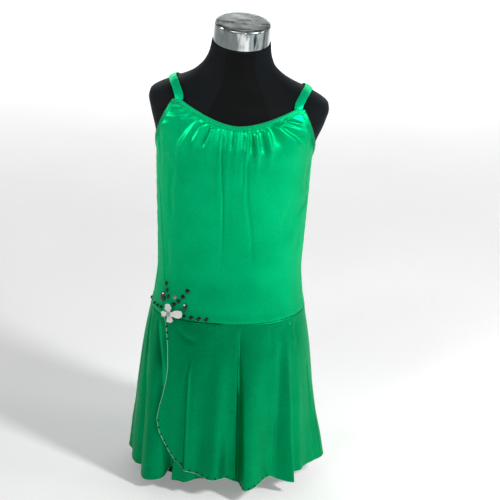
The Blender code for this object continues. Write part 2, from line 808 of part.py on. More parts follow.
# Petals by direction in degrees round the flower's centre, length, width and how far each is lifted.
Petal = namedtuple("Petal", "name direction length width lift")
PETALS = (
    Petal("flower_petal_top", 108, 0.0180, 0.0170, 0.0012),
    Petal("flower_petal_right", 12, 0.0262, 0.0180, 0.0016),
    Petal("flower_petal_left", 192, 0.0160, 0.0130, 0.0016),
    Petal("flower_petal_bottom", 284, 0.0150, 0.0165, 0.0005),
)
PETAL_LEVELS = ((0.90, 0.0), (1.0, 0.0006), (0.95, 0.0012), (0.5, 0.0009), (0.2, 0.0007))
PETAL_INNER = 0.0012
FLOWER_X, FLOWER_Z = -0.0925, 0.3195
FLOWER_SEAT = 0.0062


def petal_point(petal, turn, scale, level):
    """A point of a petal, which widens outwards like an egg."""
    half = (petal.length - PETAL_INNER) / 2
    along_it = math.cos(turn)
    reach = PETAL_INNER + half * (1 + scale * along_it)
    aside = petal.width / 2 * scale * math.sin(turn) * (0.72 + 0.28 * along_it)
    way = math.radians(petal.direction)
    across = reach * math.cos(way) - aside * math.sin(way)
    up = reach * math.sin(way) + aside * math.cos(way)
    return on_cloth(FLOWER_X, FLOWER_Z, across, up, FLOWER_SEAT + petal.lift + level)


def make_ornaments():
    """The stones and the small fabric flower at the left end of the waist seam."""
    for row in STONE_ROWS:
        x, z = row.x, row.z
        for k in range(row.count):
            seat = bodice_clear(z - row.height / 2, angle_at_x(FORM, z, x)) + BODICE_WALL - row.sunk
            stone(f"{row.name}_{k + 1}", row.kind, x, z, (row.width, row.height), seat, "dark green stone")
            x += row.step_x
            z += row.step_z + row.bend * k
    for name, kind, x, z, size, colour in (
        ("stone_oval", "oval", -0.1080, 0.3437, (0.0130, 0.0170), "dark green stone"),
        ("stone_drop", "drop", -0.0687, 0.3350, (0.0085, 0.0150), "dark green stone"),
        ("stone_heart", "heart", -0.0874, 0.3494, (0.0085, 0.0085), "clear stone"),
    ):
        seat = bodice_clear(z - size[1] / 2, angle_at_x(FORM, z, x)) + BODICE_WALL
        stone(name, kind, x, z, size, seat, colour, height=0.0034 if kind == "oval" else 0.0026)

    for petal in PETALS:
        turns = [2 * math.pi * j / 10 for j in range(10)]
        rings = [[petal_point(petal, turn, *level) for turn in turns] for level in PETAL_LEVELS]
        loft(petal.name, rings, "white petal", 50)
    rings = []
    for scale, level in ((0.75, 0.0), (1.0, 0.0009), (0.75, 0.0022), (0.3, 0.0028)):
        ring = []
        for j in range(8):
            turn = 2 * math.pi * j / 8
            across = 0.0038 * scale * math.cos(turn)
            up = 0.0038 * scale * math.sin(turn)
            ring.append(on_cloth(FLOWER_X, FLOWER_Z, across, up, FLOWER_SEAT + 0.0031 + level))
        rings.append(ring)
    loft("flower_centre", rings, "grey bead", 50)


def main():
    for thing in list(bpy.data.objects):
        bpy.data.objects.remove(thing, do_unlink=True)
    make_form()
    make_bodice()
    make_straps()
    make_skirt()
    make_brief()
    make_ornaments()


main()
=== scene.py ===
"""Scene of a skirted leotard on its dress form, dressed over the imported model.

Metres, +Z up, the front faces -Y. An angle round the body is in degrees, 0 at the front and
growing towards +X. The cloth is shaped by functions of angle and height, without a simulation.
"""

import json
import math
from collections import namedtuple

import bmesh
import bpy
import numpy as np
from mathutils import Matrix, Vector

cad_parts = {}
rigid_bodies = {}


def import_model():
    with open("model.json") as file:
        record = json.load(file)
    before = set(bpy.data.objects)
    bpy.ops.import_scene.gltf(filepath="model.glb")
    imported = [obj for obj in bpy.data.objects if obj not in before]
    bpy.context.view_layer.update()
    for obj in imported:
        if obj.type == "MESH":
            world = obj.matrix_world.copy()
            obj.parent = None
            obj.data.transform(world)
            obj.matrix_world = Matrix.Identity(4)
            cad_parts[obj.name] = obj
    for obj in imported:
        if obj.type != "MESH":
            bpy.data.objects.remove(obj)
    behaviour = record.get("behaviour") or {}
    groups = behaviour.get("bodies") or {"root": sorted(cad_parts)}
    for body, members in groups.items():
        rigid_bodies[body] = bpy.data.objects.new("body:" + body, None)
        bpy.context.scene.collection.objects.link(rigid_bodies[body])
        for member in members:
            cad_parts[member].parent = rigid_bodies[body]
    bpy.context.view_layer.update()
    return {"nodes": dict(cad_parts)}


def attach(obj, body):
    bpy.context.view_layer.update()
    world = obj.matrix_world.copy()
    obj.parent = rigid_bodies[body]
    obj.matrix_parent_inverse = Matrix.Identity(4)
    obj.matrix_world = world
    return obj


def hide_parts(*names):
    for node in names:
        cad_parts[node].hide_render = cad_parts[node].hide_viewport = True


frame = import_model()

SEAM = 0.0003
WAIST_Z = 0.313
BODICE_WALL = 0.0015
BODICE_CLEAR = 0.0018
BRIEF_CLEAR = 0.0015
LEG_CLEAR = 0.0034
GUSSET_CLEAR = 0.0015
BRIEF_WALL = 0.0012
STRAP_WIDTH = 0.014
STRAP_THICKNESS = 0.0030
STRAP_BOW = 0.0165
CLOTH = 0.0009
BAND_WIDTH = 0.008
BAND_RAISE = 0.0006
SKIRT_SEAM_ANGLE = 80.0
SIDE_ANGLE_TOP = 86.0
SIDE_ANGLE_WAIST = 79.0
CHANNEL_HALF_WIDTH = 0.036
CHANNEL_TOP = 0.060
CHANNEL_CORNER = 0.013
GUSSET_HALF_WIDTH = 0.021
NECK_TILT = math.radians(14)
CAP_HALF_WIDTH = 0.0475
CAP_HALF_DEPTH = 0.0440
NECK_TOP_Z = 0.7820
NECK_ASIDE = -0.0042
LEAN = math.radians(2.3)
LEAN_FROM_Z, LEAN_TO_Z = 0.56, 0.66
SHIFT_X, SHIFT_Y = -0.0060, -0.0020
NECK_ASIDE_FROM_Z, NECK_ASIDE_OVER = 0.712, 0.036
NECK_BEND_Z = 0.728
FORM_STEP = 0.0045
CAP_TOP_EDGE = 0.0335
BODICE_SCALE = 0.0019
SKIRT_SCALE = 0.0022
CREASE_GAIN, CREASE_BROAD = 2.8, 1.55
GATHERS = 74
SKIRT_DROP = 0.280
SEAM_SCALE = 0.0021
FINE_FROM = 0.945
DEEPEST = -0.0018
OVERLAY_ROWS, PANEL_ROWS = 118, 96
THREAD_STEP = 0.0035
LEG_TOP_Z = 0.195


def named(kind, table):
    """A table's rows as named tuples."""
    return tuple(kind(*row) for row in table)


Section = namedtuple("Section", "z half_width front back power")
FORM = named(Section, (
    (0.0, 0.104, 0.058, 0.072, 2.5), (0.005, 0.1165, 0.072, 0.087, 2.5),
    (0.016, 0.13, 0.087, 0.102, 2.4), (0.038, 0.1395, 0.098, 0.112, 2.4),
    (0.08, 0.144, 0.104, 0.118, 2.3), (0.14, 0.146, 0.107, 0.121, 2.3),
    (0.195, 0.146, 0.107, 0.12, 2.3), (0.24, 0.143, 0.105, 0.117, 2.3),
    (0.28, 0.1375, 0.101, 0.111, 2.3), (0.313, 0.132, 0.097, 0.104, 2.3),
    (0.35, 0.1265, 0.094, 0.097, 2.3), (0.395, 0.1225, 0.09, 0.091, 2.3),
    (0.44, 0.124, 0.09, 0.088, 2.3), (0.49, 0.126, 0.092, 0.088, 2.3),
    (0.54, 0.128, 0.097, 0.094, 2.3), (0.585, 0.1295, 0.1, 0.1, 2.3),
    (0.61, 0.1325, 0.1, 0.101, 2.4), (0.63, 0.138, 0.097, 0.1, 2.4),
    (0.648, 0.144, 0.092, 0.096, 2.5), (0.665, 0.149, 0.085, 0.09, 2.6),
    (0.68, 0.1525, 0.077, 0.083, 2.6), (0.69, 0.1505, 0.071, 0.077, 2.6),
    (0.698, 0.141, 0.064, 0.071, 2.5), (0.706, 0.126, 0.058, 0.065, 2.4),
    (0.7135, 0.11, 0.053, 0.06, 2.3), (0.721, 0.092, 0.049, 0.056, 2.2),
    (0.731, 0.075, 0.0465, 0.052, 2.1), (0.747, 0.059, 0.045, 0.049, 2.0),
    (0.765, 0.052, 0.0448, 0.0465, 2.0), (0.782, 0.0495, 0.0455, 0.0455, 2.0),
))
SKIRT = named(Section, (
    (0.0, 0.164, 0.131, 0.137, 2.2), (0.04, 0.1625, 0.128, 0.135, 2.2),
    (0.08, 0.161, 0.124, 0.132, 2.2), (0.12, 0.1575, 0.12, 0.1295, 2.25),
    (0.165, 0.1555, 0.1165, 0.1275, 2.3), (0.205, 0.1525, 0.1135, 0.126, 2.3),
    (0.24, 0.1485, 0.1105, 0.123, 2.3), (0.27, 0.144, 0.107, 0.118, 2.3),
    (0.29, 0.1405, 0.1045, 0.1135, 2.3), (0.313, 0.1363, 0.1013, 0.1083, 2.3),
    (0.327, 0.1343, 0.1003, 0.1063, 2.3),
))

# Skirt folds: crest angle at the waist and at the hem, half width in degrees, how far it stands
# out at the hem, where it starts down the skirt, how many degrees it leans and its half width on
# the far side.
Fold = namedtuple("Fold", "waist_angle hem_angle half depth start lean far_half", defaults=(None,))
SHARED_FOLDS = named(Fold, (
    (-74, -78, 9, 0.002, 0.25, 0.0), (-60, -53, 13, 0.019, 0.12, 2.5),
    (-27, -25, 7, 0.007, 0.3, 0.0), (-4, -6, 12, 0.015, 0.08, 0.8),
    (17.6, 18.4, 4.6, 0.029, 0.02, -2.4, 21), (52.5, 46.8, 5.0, 0.021, 0.06, 2.4, 6.0),
    (61, 62, 5, 0.004, 0.02, 0.0), (82, 84, 15, 0.023, 0.4, 1.5),
    (104, 108, 12, 0.017, 0.15, -2.0), (128, 131, 11, 0.022, 0.05, 2.6),
    (150, 153, 12, 0.018, 0.12, -1.5), (172, 176, 12, 0.026, 0.03, -3.0),
    (197, 198, 10, 0.015, 0.2, 1.8), (219, 221, 12, 0.023, 0.06, 2.4),
    (243, 245, 11, 0.018, 0.1, -2.0), (263, 264, 9, 0.009, 0.3, 0.0),
))
UNDER_FOLDS = named(Fold, (
    (-41, -41.5, 5.5, -0.014, 0.4, 0.0), (-66, -67, 5.0, -0.006, 0.2, 0.0),
))

Hem = namedtuple("Hem", "angle z")
HEM = named(Hem, (
    (-90, 0.024), (-60, 0.018), (-30, 0.023), (-6, 0.0385), (3, 0.037), (18.5, 0.027),
    (36, 0.0365), (46.5, 0.026), (54, 0.0325), (68, 0.033), (90, 0.039), (135, 0.036),
    (180, 0.03), (225, 0.032), (270, 0.024),
))
# The waist seam's height round the body. It rises towards the sides.
WAIST = named(Hem, (
    (-90, 0.319), (-72, 0.3148), (-58, 0.313), (0, 0.313), (25, 0.3143), (45, 0.317),
    (66, 0.321), (90, 0.3255), (180, 0.3235), (252, 0.322), (270, 0.319),
))

# The front overlay's free left edge, from where its rounded corner starts up to the waist.
Edge = namedtuple("Edge", "z angle")
EDGE = named(Edge, (
    (0.131, -49.8), (0.152, -49.2), (0.178, -47.4), (0.215, -46.3), (0.26, -48.7),
    (0.297, -53.1), (0.313, -56.5),
))

# The overlay's hem where it rises to that edge in a rounded corner.
CORNER = named(Hem, (
    (-49.8, 0.131), (-47.5, 0.108), (-40, 0.0755), (-33, 0.058), (-24, 0.0475), (-16, 0.041),
    (-6, 0.0385),
))
UNDER_END_ANGLE = -12.0

# The under panel's hem is notched where a fold of it turns in beside the overlay's corner.
NOTCH_ANGLE = -41.5
NOTCH_HALF = 3.6
NOTCH_RISE = 0.022

Ridge = namedtuple("Ridge", "neck_angle foot_angle foot_z depth half")
RIDGES = named(Ridge, (
    (-62, -66, 0.56, 0.0014, 6.0), (-45, -72, 0.6, 0.0013, 5.0), (-35, -52, 0.565, 0.0016, 5.0),
    (-29, -38, 0.59, 0.0013, 3.6), (-20, -25, 0.56, 0.001, 3.4), (-13, -14, 0.48, 0.0011, 3.0),
    (-5.5, -6, 0.47, 0.0012, 3.0), (2, 2, 0.52, 0.001, 3.0), (10, 12, 0.5, 0.0012, 3.0),
    (18, 23, 0.56, 0.0014, 3.2), (27, 34, 0.57, 0.0014, 3.6), (35, 57, 0.575, 0.0019, 5.5),
    (45, 70, 0.61, 0.0014, 5.0), (62, 78, 0.59, 0.0012, 5.0),
))

Neckline = namedtuple(
    "Neckline", "low_z corner_z inner outer neck_power side arm_power drop_power"
)
FRONT_LINE = Neckline(0.658, 0.689, 54.9, 60.5, 1.75, SIDE_ANGLE_TOP, 1.9, 0.85)
BACK_LINE = Neckline(0.634, 0.676, 50.0, 56.0, 1.9, 180 - SIDE_ANGLE_TOP, 1.3, 0.85)
ARMHOLE_Z = 0.6035
NECK_SHARE = 0.66
STRAP_SHARE = 0.74
BACK_WAIST_SHARE = 0.60

# Creases pressed or lifted: points as angle and height, depth out of the cloth and half
# width. The tables have heights in millimetres, and depths and widths in tenths of one.
Crease = namedtuple("Crease", "points depth width")


def crease_table(*table):
    made = []
    for points, depth, width in table:
        made.append(Crease([(a, h / 1000) for a, h in points], depth / 1e4, width / 1e4))
    return tuple(made)


FRONT_CREASES = crease_table(
    (((-12.6, 652), (-12, 630), (-8, 534), (-8, 400)), -7, 12),
    (((-3.3, 652), (-3.6, 618)), -7, 13), (((9.6, 615), (10.2, 540)), -5, 15),
    (((12, 620), (14.6, 536), (22, 464), (24, 380)), -4, 20), (((8, 652), (8.3, 620)), -6, 16),
    (((11.3, 652), (11.5, 595)), 13, 22), (((15, 652), (16.2, 610)), -8, 20),
    (((18.6, 654), (22.5, 590)), 14, 26), (((23.5, 655), (27.5, 610)), -9, 24),
    (((27.5, 659), (34, 603)), 15, 28), (((31.5, 662), (42, 625)), -10, 28),
    (((34, 666), (48, 641), (58, 607)), 20, 36), (((40, 665), (57, 640)), -11, 22),
    (((38.5, 668), (60, 650)), 14, 20), (((43, 673), (60, 664)), 12, 18),
    (((56, 648), (63, 631)), 12, 18), (((60, 668), (68, 645)), 9, 20),
    (((64, 640), (70, 620)), -10, 20), (((-18, 654), (-19, 620)), 7, 18),
    (((-22, 655), (-25.5, 612)), 11, 24), (((-26, 657), (-31, 610)), -10, 24),
    (((-29.5, 660), (-38.5, 610)), 16, 27), (((-32, 664), (-41, 630)), -10, 24),
    (((-33, 667), (-44, 622), (-52, 596)), 16, 28), (((-43, 618), (-46, 610)), 6, 18),
    (((-37.5, 669), (-58, 648), (-76, 634)), 19, 30), (((-44, 657), (-64, 645)), -10, 22),
    (((-44, 670), (-67, 656)), 14, 22), (((-50, 675), (-66, 668)), 10, 18),
    (((-52, 601), (-60, 594)), 5, 20), (((-68, 628), (-69, 572)), -12, 22),
    (((-52.5, 583), (-56.7, 538), (-57, 470)), -8, 22),
    (((79, 523), (68, 515), (59, 500)), -18, 34), (((62, 535), (56, 500), (52, 450)), -10, 70),
    (((74, 600), (72, 560), (72, 530)), -10, 30), (((68, 470), (67, 430)), -6, 30),
    (((-62, 450), (-61, 380)), -5, 30), (((-57, 379), (-54, 371)), -5, 30),
)

# A pressed line down the left of the front, from the armhole to the waist stones.
LEFT_LINE = crease_table(
    (((-77, 612), (-74.6, 588), (-69.9, 504), (-66.1, 398), (-61.8, 368), (-58, 160)), -16, 13),
)
BACK_CREASES = crease_table(
    (((-8, 628), (-7, 520)), -8, 18), (((3, 628), (4, 560)), 10, 24),
    (((11, 630), (14, 570)), -9, 22), (((19, 634), (25, 575)), 14, 28),
    (((28, 640), (40, 600)), 15, 30), (((35, 648), (55, 620)), 15, 28),
    (((42, 655), (62, 640)), 12, 24), (((-17, 633), (-21, 580)), 13, 26),
    (((-26, 638), (-36, 600)), 14, 30), (((-33, 645), (-52, 620)), 16, 30),
    (((-42, 655), (-63, 640)), 11, 24), (((-96, 500), (-84, 485)), -15, 40),
    (((92, 460), (80, 450), (70, 455)), -13, 50), (((30, 400), (12, 392), (-10, 395)), -8, 60),
    (((40, 370), (18, 362)), -6, 50), (((-48, 410), (-22, 400)), -7, 55),
)
OVERLAY_CREASES = crease_table(
    (((57, 311), (60, 285), (61, 262)), 22, 38), (((64, 311), (64, 285), (62.5, 262)), -16, 28),
    (((13.4, 312), (13.1, 237), (13.9, 168), (14.5, 98), (15, -140)), -30, 32),
    (((47.6, 285), (47.3, 230), (45, 140), (43.5, 39), (43, -140)), -28, 62),
    (((-29.4, 250), (-27.7, 138), (-25.4, 55), (-24.5, -60)), 30, 24),
    (((-31.6, 240), (-30.2, 138), (-28, -30)), -16, 26),
    (((-45, 300), (-34, 283), (-22, 276)), -8, 40), (((-50, 220), (-44, 140)), 8, 60),
    (((40, 310), (41, 250)), -7, 40),
    (((73.5, 240), (74.8, 197), (76.5, 54), (77, -50)), -22, 26),
    (((-12, 290), (-10, 180), (-12, 80)), -7, 80),
)
UNDER_CREASES = crease_table(
    (((-76, 318), (-67.5, 206), (-67, 61), (-67, -120)), -60, 36),
    (((-63, 306), (-57, 261), (-52, 219), (-50, 100)), -44, 34),
    (((-53, 300), (-50.5, 263), (-49.5, 219), (-50.5, 155), (-50, 60)), -30, 80),
    (((-70.5, 310), (-71, 220)), 10, 30),
)
BACK_SKIRT_CREASES = crease_table(
    (((96, 300), (98, 160)), -16, 36), (((120, 300), (121, 140)), -18, 40),
    (((141, 280), (142, 100)), -14, 36), (((163, 300), (164, 120)), -20, 38),
    (((187, 290), (188, 150)), -16, 36), (((210, 300), (211, 120)), -18, 40),
    (((233, 300), (234, 160)), -14, 36), (((255, 280), (256, 100)), -14, 40),
)


# Functions of arrays


def ease(value):
    value = np.clip(value, 0.0, 1.0)
    return value * value * (3 - 2 * value)


def bell(value, width):
    """One at zero, falling off over the width."""
    return np.exp(-((value / width) ** 2))


def ripple(at, pitch, sway, slow_pitch):
    """A wave of puckers whose spacing drifts."""
    return np.sin(at * 2 * math.pi / pitch + sway * np.sin(at * 2 * math.pi / slow_pitch))


def unit(vectors):
    return vectors / np.maximum(np.linalg.norm(vectors, axis=-1, keepdims=True), 1e-12)


def circle(count):
    return 2 * math.pi * np.arange(count) / count


def bisect(low, high, above):
    """The value up to which above holds, between low and high."""
    for _ in range(40):
        middle = (low + high) / 2
        low, high = (middle, high) if above(middle) else (low, middle)
    return low


def walked_along(path):
    """How far along a line each of its points lies."""
    return np.concatenate(([0.0], np.cumsum(np.linalg.norm(np.diff(path, axis=0), axis=1))))


def along(table, at, column):
    """A column's value where the first column is at, on a smooth curve through the rows."""
    keys = np.array([row[0] for row in table])
    values = np.array([getattr(row, column) for row in table])
    step = np.diff(values) / np.diff(keys)
    slope = np.zeros(len(values))
    if table is not HEM:
        slope[0], slope[-1] = step[0], step[-1]
    before, after = step[:-1], step[1:]
    both = before + after
    both[before * after <= 0] = 1.0
    slope[1:-1] = np.where(before * after > 0, 2 * before * after / both, 0.0)
    at = np.clip(at, keys[0], keys[-1])
    i = np.clip(np.searchsorted(keys, at, side="left") - 1, 0, len(keys) - 2)
    span = keys[i + 1] - keys[i]
    t = (at - keys[i]) / span
    return (
        values[i] * (1 + 2 * t) * (1 - t) ** 2
        + values[i + 1] * t * t * (3 - 2 * t)
        + span * (slope[i] * t * (1 - t) ** 2 - slope[i + 1] * t * t * (1 - t))
    )


def radius(table, z, angle, out=0.0):
    turn = np.radians(angle)
    side, ahead = np.abs(np.sin(turn)), np.cos(turn)
    wide = along(table, z, "half_width") + out
    deep = np.where(ahead > 0, along(table, z, "front"), along(table, z, "back")) + out
    power = along(table, z, "power")
    return ((side / wide) ** power + (np.abs(ahead) / deep) ** power) ** (-1 / power)


def body_point(table, z, angle, out=0.0):
    """Points of a section table, by height and angle, moved out level by out."""
    z, angle, out = np.broadcast_arrays(np.asarray(z, float), angle, out)
    far = radius(table, z, angle, out)
    turn = np.radians(angle)
    return np.stack((far * np.sin(turn), -far * np.cos(turn), z), -1)


def placed(p):
    """Points of the upright shape where the lean of the shoulders and the shift put them."""
    turn = LEAN * ease((p[..., 2] - LEAN_FROM_Z) / (LEAN_TO_Z - LEAN_FROM_Z))
    aside = NECK_ASIDE * ease((p[..., 2] - NECK_ASIDE_FROM_Z) / NECK_ASIDE_OVER)
    x = p[..., 0] + (p[..., 2] - LEAN_FROM_Z) * turn + aside
    return np.stack((x + SHIFT_X, p[..., 1] + SHIFT_Y, p[..., 2] - p[..., 0] * turn), -1)


def grid_normals(grid):
    normal = unit(np.cross(np.gradient(grid, axis=0), np.gradient(grid, axis=1)))
    outward = (normal[..., 0] * grid[..., 0] + normal[..., 1] * grid[..., 1]).sum()
    return normal if outward > 0 else -normal


def creased(creases, angle, z, metres_per_degree=BODICE_SCALE):
    """How far the creases move points at an angle and a height."""
    moved = np.zeros(np.broadcast(angle, z).shape)
    for crease in creases:
        points = [(a * metres_per_degree, h) for a, h in crease.points]
        lengths = [math.dist(p, q) for p, q in zip(points, points[1:])]
        total, done = sum(lengths), 0.0
        best = np.full(moved.shape, 1e9)
        place = np.zeros(moved.shape)
        for (x0, z0), (x1, z1), length in zip(points, points[1:], lengths):
            ux, uz = (x1 - x0) / length, (z1 - z0) / length
            dx, dz = angle * metres_per_degree - x0, z - z0
            t = np.clip(dx * ux + dz * uz, 0.0, length)
            away = np.hypot(dx - t * ux, dz - t * uz)
            nearer = away < best
            best = np.where(nearer, away, best)
            place = np.where(nearer, (done + t) / total, place)
            done += length
        fade = ease(place / 0.10) * ease((1 - place) / 0.45)
        width = crease.width * (1 + 0.5 * place)
        moved += crease.depth * fade * bell(best, width)
    return moved


def unevenness(u, v, seed, size):
    """A smooth uneven field between about -1 and 1, from seeded waves of about this size."""
    rng, count = np.random.default_rng(seed), 24
    total = np.zeros(np.broadcast(u, v).shape)
    for _ in range(count):
        way = rng.uniform(0, math.pi)
        pitch = size * rng.uniform(0.7, 1.8)
        k = 2 * math.pi / pitch
        total += np.sin(k * (u * math.cos(way) + v * math.sin(way)) + rng.uniform(0, 6.28))
    return total / math.sqrt(count / 2) / 2


# Materials


def shader_nodes(name):
    made = bpy.data.materials.new(name)
    made.use_nodes = True
    tree = made.node_tree
    return made, tree, tree.nodes["Principled BSDF"]


def set_inputs(node, values):
    for name, value in values.items():
        node.inputs[name].default_value = value


def add_node(tree, kind, values, sources, operation=None):
    """A node with some inputs set and some linked."""
    made = tree.nodes.new(f"ShaderNode{kind}")
    if operation:
        made.operation = operation
    set_inputs(made, values)
    for name, source in sources.items():
        tree.links.new(source, made.inputs[name])
    return made


def noise(tree, scale, detail, stretch=(1, 1, 1)):
    """A noise in the object's own coordinates, finer along an axis where stretch is larger."""
    place = add_node(tree, "TexCoord", {}, {}).outputs["Object"]
    mapping = add_node(tree, "Mapping", {"Scale": stretch}, {"Vector": place})
    values = {"Scale": scale, "Detail": detail, "Roughness": 0.55}
    return add_node(tree, "TexNoise", values, {"Vector": mapping.outputs["Vector"]}).outputs["Fac"]


def ramp(tree, source, stops):
    made = add_node(tree, "ValToRGB", {}, {"Fac": source})
    line = made.color_ramp
    while len(line.elements) < len(stops):
        line.elements.new(0.5)
    for element, (at, colour) in zip(line.elements, stops):
        element.position = at
        element.color = (*colour, 1.0)
    return made.outputs["Color"]


def spread(tree, source, low, high):
    values = {"From Min": 0.3, "From Max": 0.7, "To Min": low, "To Max": high}
    return add_node(tree, "MapRange", values, {"Value": source}).outputs["Result"]


def blend(tree, first, share, second):
    """A share of the first source with the rest of the second."""
    rest = add_node(tree, "Math", {1: 1 - share}, {0: second}, "MULTIPLY").outputs[0]
    return add_node(tree, "Math", {1: share}, {0: first, 2: rest}, "MULTIPLY_ADD").outputs[0]


def surface(tree, shader, colour, stops, wear, roughness, values, bumps):
    """A ramp of colours, a low and a high roughness, other inputs, and bumps in a chain.

    Each bump is a source, a strength and a depth in metres.
    """
    tree.links.new(ramp(tree, colour, stops), shader.inputs["Base Color"])
    tree.links.new(spread(tree, wear, *roughness), shader.inputs["Roughness"])
    set_inputs(shader, values)
    sources = {}
    for source, strength, depth in bumps:
        sources["Height"] = source
        made = add_node(tree, "Bump", {"Strength": strength, "Distance": depth}, sources)
        sources = {"Normal": made.outputs["Normal"]}
    tree.links.new(sources["Normal"], shader.inputs["Normal"])


def spandex(name, deep, bright, rough, metallic):
    """Shiny knitted stretch cloth, with a fine upright grain."""
    made, tree, shader = shader_nodes(name)
    wide, grain = noise(tree, 14, 3), noise(tree, 900, 2, (1, 1, 0.35))
    colour = blend(tree, grain, 0.55, wide)
    values = {"Metallic": metallic, "IOR": 1.2, "Specular Tint": (0.02, 1.0, 0.62, 1.0)}
    bumps = (
        (noise(tree, 60, 3), 0.10, 0.0012),
        (grain, 0.10, 0.0003),
        (noise(tree, 2600, 1, (1, 1, 0.4)), 0.10, 0.00015),
    )
    stops = ((0.34, deep), (0.62, bright))
    surface(tree, shader, colour, stops, wide, (rough - 0.05, rough + 0.06), values, bumps)
    return made


def jersey(name, dark, light, nap):
    """Matt black knit with a faint blue nap."""
    made, tree, shader = shader_nodes(name)
    wide, fuzz = noise(tree, 22, 4), noise(tree, 1600, 3)
    colour = blend(tree, fuzz, 0.5, wide)
    values = {
        "Specular IOR Level": 0.12,
        "Sheen Weight": nap,
        "Sheen Roughness": 0.45,
        "Sheen Tint": (0.35, 0.55, 0.75, 1.0),
    }
    bumps = ((noise(tree, 90, 4), 0.15, 0.001), (fuzz, 0.25, 0.0003))
    surface(tree, shader, colour, ((0.30, dark), (0.70, light)), wide, (0.72, 0.9), values, bumps)
    return made


def metal(name, rough, scratches, stretch, stops):
    """Polished metal, scratched, with colour noise: painted reflection streaks on the side, smears
    on top.
    """
    made, tree, shader = shader_nodes(name)
    smears_and_painted_streaks, lines = noise(tree, 38, 4, stretch), noise(tree, 320, 3, (0.25, 1, 1))
    bumps = ((smears_and_painted_streaks, 0.25 * scratches, 0.0006), (lines, 0.25 * scratches, 0.0002))
    roughness = (rough, rough + 0.22 * scratches)
    surface(tree, shader, smears_and_painted_streaks, stops, smears_and_painted_streaks, roughness, {"Metallic": 1.0}, bumps)
    return made


def satin(name, dark, light, rough, scale):
    """Thin woven cloth or thread, lightly mottled."""
    made, tree, shader = shader_nodes(name)
    weave = noise(tree, scale, 3)
    stops, roughness = ((0.3, dark), (0.7, light)), (rough - 0.08, rough + 0.08)
    bumps = ((weave, 0.3, 0.0003),)
    surface(tree, shader, weave, stops, weave, roughness, {"Sheen Weight": 0.1}, bumps)
    return made


def gem(name, dark, light, rough, metallic):
    """Foil-backed faceted stone, cloudy inside."""
    made, tree, shader = shader_nodes(name)
    cloud = noise(tree, 260, 2)
    values = {"Metallic": metallic, "Coat Weight": 0.25, "Coat Roughness": 0.10}
    stops, bumps = ((0.38, dark), (0.66, light)), ((cloud, 0.1, 0.0002),)
    surface(tree, shader, cloud, stops, cloud, (rough, rough + 0.08), values, bumps)
    return made


GREEN = spandex("green_spandex_cloth", (0.0, 0.35, 0.12), (0.0, 0.48, 0.172), 0.38, 0.5)
# The skirt's cloth is a darker copy of the bodice's green: painted shade, for the skirt hanging
# lower and further from the lights.
SKIRT_GREEN_PAINTED_SHADE = spandex("green_skirt_cloth_painted_shade", (0.0, 0.225, 0.074), (0.0, 0.325, 0.112), 0.36, 0.58)
BAND = spandex("green_elastic_edge", (0.0, 0.29, 0.10), (0.0, 0.40, 0.145), 0.46, 0.6)
STRAP = spandex("green_strap_cloth", (0.0, 0.44, 0.17), (0.0, 0.58, 0.235), 0.42, 0.6)
LINING = spandex("green_cloth_inside", (0.0, 0.20, 0.07), (0.0, 0.27, 0.095), 0.62, 0.3)
THREAD = satin("pale_edge_thread", (0.10, 0.50, 0.30), (0.30, 0.75, 0.52), 0.55, 900)
STITCH = satin("green_stitch_thread", (0.0, 0.20, 0.075), (0.0, 0.30, 0.115), 0.5, 900)
BLACK = jersey("black_jersey_cover", (0.0008, 0.0012, 0.0015), (0.0034, 0.0052, 0.0064), 0.05)
# A darker copy of the black cover for the middle of the front and back: painted shade.
BLACK_PAINTED_SHADE = jersey(
    "black_jersey_painted_shade_middle", (0.0004, 0.0005, 0.0006), (0.0018, 0.0022, 0.0026), 0.02
)
# Dark and light streaks in the colour of the cap's side: painted reflection of things round the
# cap.
PAINTED_REFLECTION_STREAKS = (
    (0.36, (0.03, 0.04, 0.04)),
    (0.42, (0.30, 0.33, 0.33)),
    (0.52, (0.22, 0.25, 0.25)),
    (0.60, (0.75, 0.78, 0.77)),
)
SMEARS = ((0.30, (0.27, 0.30, 0.30)), (0.50, (0.43, 0.48, 0.47)), (0.66, (0.72, 0.78, 0.77)))
CHROME = metal("polished_cap_side_painted_reflections", 0.05, 0.25, (1, 1, 0.06), PAINTED_REFLECTION_STREAKS)
BRUSHED = metal("scratched_cap_top", 0.20, 1.0, (1, 2.2, 1), SMEARS)
PETAL = satin("white_petal_cloth", (0.72, 0.74, 0.73), (0.92, 0.93, 0.92), 0.6, 700)
BEAD = satin("grey_bead_centre", (0.16, 0.17, 0.17), (0.45, 0.46, 0.46), 0.35, 500)
STONE = gem("dark_green_stone", (0.0, 0.002, 0.0015), (0.0, 0.022, 0.012), 0.06, 0.2)
TEAL = gem("mid_green_stone", (0.0, 0.010, 0.006), (0.0, 0.070, 0.037), 0.34, 0.1)
CLEAR = gem("clear_foil_stone", (0.12, 0.15, 0.14), (0.55, 0.60, 0.58), 0.12, 0.6)


# Meshes


def add_object(name, points, faces, materials, face_materials=None, smooth=True, sharp=None):
    mesh = bpy.data.meshes.new(name)
    mesh.from_pydata(np.asarray(points).reshape(-1, 3).tolist(), [], faces)
    mesh.update()
    for one in materials:
        mesh.materials.append(one)
    if face_materials is not None:
        mesh.polygons.foreach_set("material_index", np.asarray(face_materials, dtype=np.int32))
    if smooth:
        mesh.shade_smooth()
        if sharp:
            mesh.set_sharp_from_angle(angle=math.radians(sharp))
    made = bpy.data.objects.new(name, mesh)
    bpy.context.scene.collection.objects.link(made)
    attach(made, "root")
    return made


def grid_faces(rows, columns, start=0, flip=False):
    i, j = np.meshgrid(np.arange(rows - 1), np.arange(columns - 1), indexing="ij")
    a = (start + i * columns + j).ravel()
    faces = np.stack((a, a + 1, a + columns + 1, a + columns), -1)
    return faces[:, ::-1] if flip else faces


